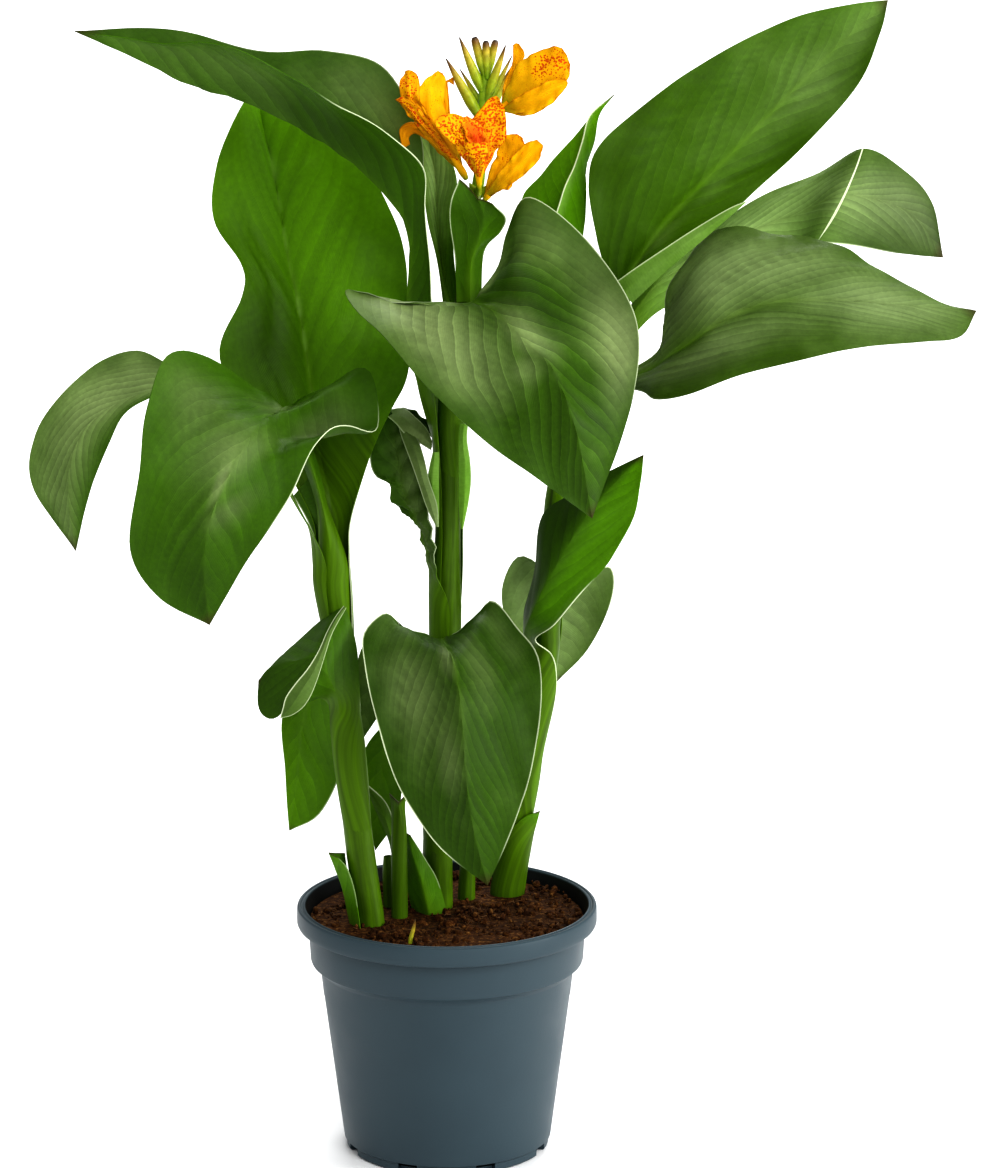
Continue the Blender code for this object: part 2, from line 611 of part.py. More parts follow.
# Colour (sRGB), roughness.
MATERIALS = {
    "pot_plastic": ("#4C5D65", 0.42),
    "soil_peat": ("#3A2418", 0.95),
    "stem_green": ("#4E8A14", 0.45),
    "leaf_green": ("#3E7024", 0.38),
    "bud_green": ("#9AA336", 0.5),
    "petal_orange": ("#FFA300", 0.5),
}


def linear(channel):
    """sRGB channel 0..1 as a linear value."""
    if channel <= 0.04045:
        return channel / 12.92
    return ((channel + 0.055) / 1.055) ** 2.4


def make_material(name, colour, roughness):
    """Principled material from an sRGB hex colour."""
    rgb = [linear(int(colour[i:i + 2], 16) / 255.0) for i in (1, 3, 5)]
    mat = bpy.data.materials.new(name)
    mat.use_nodes = True
    shader = mat.node_tree.nodes["Principled BSDF"]
    shader.inputs["Base Color"].default_value = (rgb[0], rgb[1], rgb[2], 1.0)
    shader.inputs["Roughness"].default_value = roughness
    mat.diffuse_color = (rgb[0], rgb[1], rgb[2], 1.0)
    return mat


def add_object(name, mesh, coll, mat=None):
    """Link one mesh as a named object."""
    obj = bpy.data.objects.new(name, mesh)
    coll.objects.link(obj)
    if mat is not None:
        mesh.materials.append(mat)
    return obj


def apply_all(obj):
    """Bake an object's modifiers into its mesh."""
    graph = bpy.context.evaluated_depsgraph_get()
    baked = bpy.data.meshes.new_from_object(obj.evaluated_get(graph))
    obj.modifiers.clear()
    old = obj.data
    obj.data = baked
    bpy.data.meshes.remove(old)
    return obj


def cubic(rows, t):
    """Catmull-Rom through rows (stations x points x 3) at station values t."""
    count = len(rows)
    i = np.clip(np.floor(t).astype(int), 0, count - 2)
    f = (t - i).reshape(-1, 1, 1)
    low = (i == 0).reshape(-1, 1, 1)
    high = (i == count - 2).reshape(-1, 1, 1)
    p1 = rows[i]
    p2 = rows[i + 1]
    p0 = np.where(low, 2 * rows[0] - rows[1], rows[np.maximum(i - 1, 0)])
    p3 = np.where(high, 2 * rows[-1] - rows[-2], rows[np.minimum(i + 2, count - 1)])
    a = 2 * p1
    b = p2 - p0
    c = 2 * p0 - 5 * p1 + 4 * p2 - p3
    d = 3 * p1 - p0 - 3 * p2 + p3
    return 0.5 * (a + b * f + c * f ** 2 + d * f ** 3)


def stem_at(stem, z):
    """Centre and radius of a stem at height z."""
    line = np.array(STEMS[stem], float)
    return [float(np.interp(z, line[:, 2], line[:, k])) for k in (0, 1, 3)]


def station_rows(stem, rings, rows, bow, u):
    """Points across the blade at each ring and station."""
    out = []
    cells = len(u) - 1
    for z, wrap, face, lift in rings:
        x, y, radius = stem_at(stem, z)
        angle = math.radians(face) + u * math.radians(wrap)
        reach = (radius + lift) / math.cos(math.radians(wrap) / cells)
        ring = [x + reach * np.cos(angle), y + reach * np.sin(angle), np.full_like(angle, z)]
        out.append(np.stack(ring, 1))
    for k, station in enumerate(rows):
        rib, left, right = [np.array(p, float) for p in station]
        before = np.array(rows[max(k - 1, 0)][0], float)
        after = np.array(rows[min(k + 1, len(rows) - 1)][0], float)
        normal = np.cross(right - left, after - before)
        size = np.linalg.norm(normal)
        if size > 1e-9:
            normal = normal / size
        a = np.abs(u)[:, None]
        edge = np.where((u < 0)[:, None], left, right)
        width = np.linalg.norm(edge - rib, axis=1)[:, None]
        depth = np.where(u < 0, bow[0], bow[1])[:, None] * np.clip(width / 60.0, 0.0, 1.2)
        out.append(rib + (edge - rib) * a + normal * depth * 4 * a * (1 - a))
    return np.array(out)


def blade_points(stem, rings, rows, bow, across, along):
    """Grid of points over a blade, even along its length."""
    u = np.linspace(-1, 1, across + 1)
    key = station_rows(stem, rings, rows, bow, u)
    tracks = [np.linalg.norm(np.diff(key[:, j], axis=0), axis=1) for j in (0, across // 2, across)]
    step = (tracks[0] + 2 * tracks[1] + tracks[2]) / 4 + 1e-6
    place = np.concatenate([[0], np.cumsum(step)]) / step.sum()
    t = np.interp(np.linspace(0, 1, along + 1), place, np.arange(len(key)))
    return cubic(key, t)


def blade_mesh(name, points):
    """Solid blade over a grid of points, triangles alike on both faces."""
    along = len(points) - 1
    across = len(points[0]) - 1
    mesh = bpy.data.meshes.new(name)
    bm = bmesh.new()
    bmesh.ops.create_grid(bm, x_segments=across, y_segments=along, size=1.0)
    for vert in bm.verts:
        i = int(round((vert.co.x + 1) / 2 * across))
        j = int(round((vert.co.y + 1) / 2 * along))
        vert.co = points[j][i] * MM
    bmesh.ops.remove_doubles(bm, verts=bm.verts, dist=0.00005)
    bmesh.ops.triangulate(bm, faces=bm.faces)
    bm.to_mesh(mesh)
    bm.free()
    return mesh


def add_blade(name, points, thick, coll, mat):
    """Blade as an object, thickened about its middle face."""
    obj = add_object(name, blade_mesh(name, points), coll, mat)
    solid = obj.modifiers.new("thickness", "SOLIDIFY")
    solid.thickness = thick * MM
    solid.offset = 0.0
    solid.use_even_offset = False
    return apply_all(obj)


def add_tube(name, line, coll, mat, sides_step=STEM_SIDES_STEP):
    """Round stem through (x, y, z, radius) points, closed at both ends."""
    curve = bpy.data.curves.new(name, "CURVE")
    curve.dimensions = "3D"
    curve.bevel_depth = MM
    curve.bevel_resolution = sides_step
    curve.use_fill_caps = True
    spline = curve.splines.new("POLY")
    spline.points.add(len(line) - 1)
    for point, (x, y, z, radius) in zip(spline.points, line):
        point.co = (x * MM, y * MM, z * MM, 1.0)
        point.radius = radius
    holder = bpy.data.objects.new(name + "_curve", curve)
    coll.objects.link(holder)
    graph = bpy.context.evaluated_depsgraph_get()
    graph.update()
    mesh = bpy.data.meshes.new_from_object(holder.evaluated_get(graph))
    bpy.data.objects.remove(holder)
    bm = bmesh.new()
    bm.from_mesh(mesh)
    bmesh.ops.remove_doubles(bm, verts=bm.verts, dist=0.00005)
    bmesh.ops.recalc_face_normals(bm, faces=bm.faces)
    bm.to_mesh(mesh)
    bm.free()
    mesh.materials.clear()
    return add_object(name, mesh, coll, mat)


def spun(name, profile, sides, coll, mat):
    """Closed profile of (radius, height) turned about Z."""
    mesh = bpy.data.meshes.new(name)
    bm = bmesh.new()
    verts = [bm.verts.new((r * MM, 0.0, z * MM)) for r, z in profile]
    edges = [bm.edges.new((verts[i], verts[i + 1])) for i in range(len(verts) - 1)]
    bmesh.ops.spin(
        bm, geom=verts + edges, cent=(0, 0, 0), axis=(0, 0, 1),
        angle=math.tau, steps=sides, use_merge=True,
    )
    bmesh.ops.remove_doubles(bm, verts=bm.verts, dist=0.00005)
    bmesh.ops.recalc_face_normals(bm, faces=bm.faces)
    bm.to_mesh(mesh)
    bm.free()
    return add_object(name, mesh, coll, mat)


def use_boolean(obj, operand, kind, solver="EXACT"):
    """Boolean with an object or a collection, applied at once."""
    mod = obj.modifiers.new(kind.lower(), "BOOLEAN")
    mod.operation = kind
    mod.solver = solver
    if isinstance(operand, bpy.types.Collection):
        mod.operand_type = "COLLECTION"
        mod.collection = operand
    else:
        mod.object = operand
    return apply_all(obj)


def fuse(obj, others):
    """Join other solids into one with a single union, then drop them."""
    group = bpy.data.collections.new(obj.name + "_joined")
    bpy.context.scene.collection.children.link(group)
    for other in others:
        for owner in list(other.users_collection):
            owner.objects.unlink(other)
        group.objects.link(other)
    use_boolean(obj, group, "UNION")
    for other in list(group.objects):
        bpy.data.objects.remove(other)
    bpy.data.collections.remove(group)
    return obj


def wall_r(z):
    """Outer radius of the plain tapered wall at height z."""
    return POT_FOOT_R + 1.6 + (80.5 - POT_FOOT_R - 1.6) * (z - 6.0) / (COLLAR_LOW - 6.0 - 6.0)


def make_pot(coll, cutters, mat):
    """Tapered pot with collar, rolled rim and slots in its foot."""
    outer = [
        (0.0, 0.0), (POT_FOOT_R, 0.0), (POT_FOOT_R, 5.0), (POT_FOOT_R + 1.6, 6.0),
        (wall_r(60.0), 60.0), (80.5, COLLAR_LOW - 6.0), (84.5, COLLAR_LOW - 2.5),
        (COLLAR_R, COLLAR_LOW), (COLLAR_R + 1.3, RIM_LOW), (RIM_R - 2.2, RIM_LOW),
        (RIM_R - 0.6, RIM_LOW + 1.0), (RIM_R, RIM_LOW + 4.0), (RIM_R - 0.2, POT_HEIGHT - 3.0),
        (RIM_R - 1.6, POT_HEIGHT - 0.6), (RIM_R - 3.4, POT_HEIGHT),
        (RIM_R - 5.4, POT_HEIGHT - 0.8), (RIM_R - 6.4, POT_HEIGHT - 3.0),
    ]
    inner = [
        (COLLAR_R + 1.0 - POT_WALL, RIM_LOW), (COLLAR_R - POT_WALL, COLLAR_LOW + 1.0),
        (80.5 - POT_WALL, COLLAR_LOW - 5.0), (wall_r(60.0) - POT_WALL, 60.0),
        (POT_FOOT_R - POT_WALL, POT_FLOOR), (0.0, POT_FLOOR),
    ]
    pot = spun("pot", outer + inner, POT_SIDES, coll, mat)
    for k in range(SLOT_COUNT):
        angle = math.radians(-112.5 + 360.0 / SLOT_COUNT * k)
        mesh = bpy.data.meshes.new("foot_slot")
        bm = bmesh.new()
        bmesh.ops.create_cube(bm, size=1.0)
        for vert in bm.verts:
            x = (POT_FOOT_R - SLOT_DEPTH + 5.0 + vert.co.x * 10.0) * MM
            y = vert.co.y * SLOT_WIDTH * MM
            z = (SLOT_HEIGHT / 2 - 2.0 + vert.co.z * (SLOT_HEIGHT + 4.0)) * MM
            vert.co = (
                x * math.cos(angle) - y * math.sin(angle),
                x * math.sin(angle) + y * math.cos(angle),
                z,
            )
        bm.to_mesh(mesh)
        bm.free()
        add_object("foot_slot_%d" % k, mesh, cutters)
    use_boolean(pot, cutters, "DIFFERENCE")
    return pot


def soil_height(x, y):
    """Lumpy soil surface in millimetres."""
    lumps = math.sin(x * 0.11 + 1.3) * math.cos(y * 0.13 - 0.4)
    small = math.sin(x * 0.31 + y * 0.23) * 0.5
    return SOIL_TOP + 1.5 * lumps + small


def make_soil(coll, mat):
    """Peat filling the pot, its top in low lumps."""
    top_r = COLLAR_R - POT_WALL + 0.6 - FIT_GAP
    profile = [
        (0.0, SOIL_LOW), (POT_FOOT_R - POT_WALL - FIT_GAP - 0.6, SOIL_LOW),
        (wall_r(60.0) - POT_WALL - FIT_GAP - 0.6, 60.0),
        (80.5 - POT_WALL - FIT_GAP - 0.5, COLLAR_LOW - 5.0),
        (COLLAR_R - POT_WALL - FIT_GAP - 0.5, COLLAR_LOW + 2.0),
        (top_r - 0.5, SOIL_TOP - 7.0), (top_r - 1.2, SOIL_TOP),
        (top_r - 14.0, SOIL_TOP), (top_r - 30.0, SOIL_TOP), (top_r - 46.0, SOIL_TOP),
        (top_r - 62.0, SOIL_TOP), (0.0, SOIL_TOP),
    ]
    soil = spun("soil", profile, SOIL_SIDES, coll, mat)
    for vert in soil.data.vertices:
        if vert.co.z > (SOIL_TOP - 0.1) * MM:
            vert.co.z = soil_height(vert.co.x / MM, vert.co.y / MM) * MM
    return soil


def leaf_grid(name):
    """Point grid of one leaf or sheath."""
    leaf = LEAVES[name]
    across, along = CELLS_SMALL if name in SMALL_BLADES else CELLS_LEAF
    if name in ("bract_front", "bract_back"):
        along = 8
    return blade_points(leaf["stem"], leaf["rings"], leaf["rows"], leaf["bow"], across, along)


def rooted(line):
    """Stem line carried down into the soil."""
    x, y, z, radius = line[0]
    return ((x, y, z - STEM_IN_SOIL, radius),) + tuple(line)


def wider(line, gap):
    """The same line with every radius grown by gap."""
    return tuple((x, y, z, radius + gap) for x, y, z, radius in line)


def bud_line(base, tip, radius, shape):
    """Bud from its foot to its tip, swelling and closing as its shape says."""
    base = np.array(base, float)
    tip = np.array(tip, float)
    return tuple(tuple(base + (tip - base) * s) + (radius * k,) for s, k in shape)


def clear_scene():
    """Remove every object left in the file."""
    for obj in list(bpy.data.objects):
        bpy.data.objects.remove(obj)


def main():
    clear_scene()
    scene = bpy.context.scene
    coll = bpy.data.collections.new("canna_lily_in_pot")
    scene.collection.children.link(coll)
    cutters = bpy.data.collections.new("cutters")
    scene.collection.children.link(cutters)
    mats = {name: make_material(name, *look) for name, look in MATERIALS.items()}

    make_pot(coll, cutters, mats["pot_plastic"])
    soil = make_soil(coll, mats["soil_peat"])
    holes = bpy.data.collections.new("stem_holes")
    scene.collection.children.link(holes)

    for name, line in STEMS.items():
        add_tube("stem_" + name, rooted(line), coll, mats["stem_green"])
        hole = wider(rooted(line), FIT_GAP)
        x, y, z, radius = hole[0]
        add_tube("hole_" + name, ((x, y, z - FIT_GAP, radius),) + hole[1:], holes, None)
    add_tube("sprout", SPROUT, coll, mats["stem_green"], 1)
    x, y, z, radius = SPROUT[0]
    add_tube("hole_sprout", ((x, y, z - FIT_GAP, 2.4), (x, y, SOIL_TOP + 9.0, 2.4)), holes, None, 1)

    for name in LEAVES:
        points = leaf_grid(name)
        add_blade(name, points, LEAF_THICK, coll, mats["leaf_green"])
        if name in ("sheath_left", "sheath_middle", "sheath_right", "sheath_shoot"):
            below = points.copy()
            below[0, :, 2] -= FIT_GAP
            for side, beside in ((0, 1), (-1, -2)):
                out = below[:, side] - below[:, beside]
                below[:, side] += out / np.linalg.norm(out, axis=1)[:, None]
            add_blade("slot_" + name, below, LEAF_THICK + 2 * FIT_GAP + 0.8, holes, None)
    use_boolean(soil, holes, "DIFFERENCE")

    for name, petals in PETALS.items():
        tube = add_tube(name, FLOWER_TUBES[name], coll, mats["petal_orange"])
        parts = []
        for k, rows in enumerate(petals):
            points = blade_points(None, (), rows, (1, -1), *CELLS_PETAL)
            parts.append(add_blade("%s_petal_%d" % (name, k), points, PETAL_THICK, coll, None))
        fuse(tube, parts)

    stalk = add_tube("flower_stalk", SPIKE, coll, mats["bud_green"])
    parts = []
    for k, (base, tip, radius) in enumerate(BUDS + CALYXES):
        parts.append(add_tube("bud_%d" % k, bud_line(base, tip, radius, POINTED), coll, None, 1))
    for k, (base, tip, radius) in enumerate(STUBS):
        parts.append(add_tube("stub_%d" % k, bud_line(base, tip, radius, BLUNT), coll, None, 1))
    fuse(stalk, parts)

    for group in (cutters, holes):
        for obj in list(group.objects):
            obj.hide_render = True
            obj.display_type = "WIRE"


main()
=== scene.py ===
"""Canna lily in its nursery pot, dressed for the camera.

The tables hold millimetres in the part's frame: +Z up, -Y towards the viewer.
Each leaf is laid through the same stations as its solid, with finer cells.
"""
import math

import bpy
import numpy as np
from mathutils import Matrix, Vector, noise


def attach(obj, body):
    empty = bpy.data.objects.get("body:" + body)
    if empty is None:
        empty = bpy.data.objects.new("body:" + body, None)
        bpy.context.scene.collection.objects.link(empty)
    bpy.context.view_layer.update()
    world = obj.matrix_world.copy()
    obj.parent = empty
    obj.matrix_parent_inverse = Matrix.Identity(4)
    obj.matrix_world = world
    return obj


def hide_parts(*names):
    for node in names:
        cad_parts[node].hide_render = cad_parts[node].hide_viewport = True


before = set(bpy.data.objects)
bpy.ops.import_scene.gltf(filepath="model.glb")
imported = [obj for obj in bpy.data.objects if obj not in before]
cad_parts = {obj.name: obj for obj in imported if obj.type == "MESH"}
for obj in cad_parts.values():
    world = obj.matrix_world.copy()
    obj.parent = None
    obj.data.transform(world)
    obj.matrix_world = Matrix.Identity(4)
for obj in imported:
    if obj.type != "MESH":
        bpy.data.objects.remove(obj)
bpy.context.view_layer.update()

MM = 0.001
RNG = np.random.default_rng(7)
# Points that lie closer than this are merged.
WELD = 0.02

POT_FOOT_R = 64.4
POT_HEIGHT = 159.0
POT_WALL = 1.8
POT_FLOOR = 2.5
FOOT_STEP = 1.6
FOOT_TOP = 6.0
WALL_TOP_R = 80.5
COLLAR_R = 86.5
COLLAR_LOW = 124.0
RIM_R = 95.0
RIM_LOW = 146.0
POT_SIDES = 160
SLOT_COUNT = 8
SLOT = (10.0, 13.0, 8.0)
SOIL_TOP = 150.0
SOIL_LOW = 110.0
SOIL_MIDDLE_R = 0.6
SOIL_RINGS = 56
CRUMBS = 2000
CRUMB_REACH = 85.0
FIBRES = 110
FIBRE_REACH = 78.0

LEAF_THICK = 0.55
PETAL_THICK = 0.5
FOLD_BOW = (1, 1)
PETAL_BOW = (1, -1)
BUD_WAVER = 0.06
# A sheath starts this far under its first ring, just inside its stem's skin.
SHEATH_REACH = 46.0
SHEATH_LOWEST = 140.0
SHEATH_FOOT_LIFT = -0.9
STEM_IN_SOIL = 24.0
# Lengths of the waves along a blade, and how far apart its veins lie.
RUFFLE = 52.0
UNEVEN = 83.0
PLEAT = 44.0
SWELL = 61.0
TANGLE = 13.0
STRONG_VEIN = 17.0
FINE_VEIN = 2.1

# Cells across or around a piece, and along it. A small leaf has few stations, and a stem
# has a ring for every few millimetres of its height.
LARGE_LEAF_CELLS = (32, 96)
SMALL_LEAF_CELLS = (24, 48)
SMALL_LEAF_ROWS = 6
FOLD_CELLS = (10, 40)
PETAL_CELLS = (22, 36)
BUD_CELLS = (14, 12)
SPIKE_CELLS = (16, 14)
SPROUT_CELLS = (8, 10)
FIBRE_CELLS = (5, 6)
STEM_SIDES = 28
STEM_RING = 7

CAMERA_PLACE = (0.0336, -2.8, 1.0366)
CAMERA_PITCH = 0.23495
CAMERA_LENS = 142.5
# The floor lies just under the pot's foot. Both are in metres, as the camera and lamps are.
FLOOR_SIZE = 3.6
FLOOR_Z = -0.0005
# Soft lamps: (name, place, height aimed at, size, watts).
LAMPS = (
    ("key_light", (0.9, -2.3, 2.0), 0.4, 1.9, 42.0),
    ("side_light", (2.1, -0.7, 0.9), 0.3, 1.2, 30.0),
    ("left_light", (-2.1, -0.9, 2.4), 0.6, 1.4, 6.5),
    ("back_light", (0.2, 1.8, 2.4), 0.4, 1.8, 50.0),
)

# Settings that many nodes share, and the inputs that stretch the middle of a noise.
RGBA = {"data_type": "RGBA"}
TINT = {"data_type": "RGBA", "blend_type": "MULTIPLY"}
TIMES = {"operation": "MULTIPLY"}
PLUS = {"operation": "ADD"}
SPAN = {1: 0.3, 2: 0.7}
BLADE_MARKS = (
    "vein", "rib", "edge", "tone", "bloom", "pale", "sheath", "length", "painted_light", "pleats", "tip",
)


def stations(*numbers):
    """Stations across a blade, from nine numbers each: rib, left edge and right edge."""
    return np.array(numbers, float).reshape(-1, 3, 3)


# Stems: (x, y, z, radius) from the ground up.
STEMS = {
    "left": (
        (-48, -15, 150, 9.0), (-54, -12, 195, 9.0), (-59, -10, 242, 8.7), (-64, -8, 292, 8.3),
        (-68, -7, 350, 7.5), (-70, -6, 383, 6.6), (-71, -6, 391, 5.0),
    ),
    "middle": (
        (-6, 20, 150, 9.6), (-6, 20, 188, 9.6), (-3, 18, 248, 9.3), (0, 16, 320, 9.0), (0, 15, 349, 9.6),
        (1, 15, 365, 8.0), (2, 14, 398, 7.0), (3, 13, 462, 6.8), (6, 11, 506, 6.6), (13, 9, 550, 6.2),
        (15, 9, 581, 5.2), (17, 8, 603, 3.8),
    ),
    "right": (
        (38, 50, 149, 8.8), (43, 49, 186, 8.8), (47, 47, 220, 8.8), (51, 45, 247, 8.5),
        (58, 42, 280, 8.3), (63, 40, 314, 8.2), (64, 38, 335, 8.0), (68, 35, 374, 7.6),
        (69, 32, 413, 7.2), (79, 28, 465, 6.2), (82, 27, 479, 4.6),
    ),
    "shoot": ((-30, -1, 150, 3.6), (-30, -1, 194, 3.6), (-30, -1, 212, 3.0)),
    "bud_shoot": ((12, 38, 149, 5.7), (13, 40, 175, 5.0), (14, 42, 208, 2.4)),
    "low_shoot": ((-36, 22, 148, 5.0), (-37, 22, 172, 4.4), (-38, 22, 183, 2.6)),
}

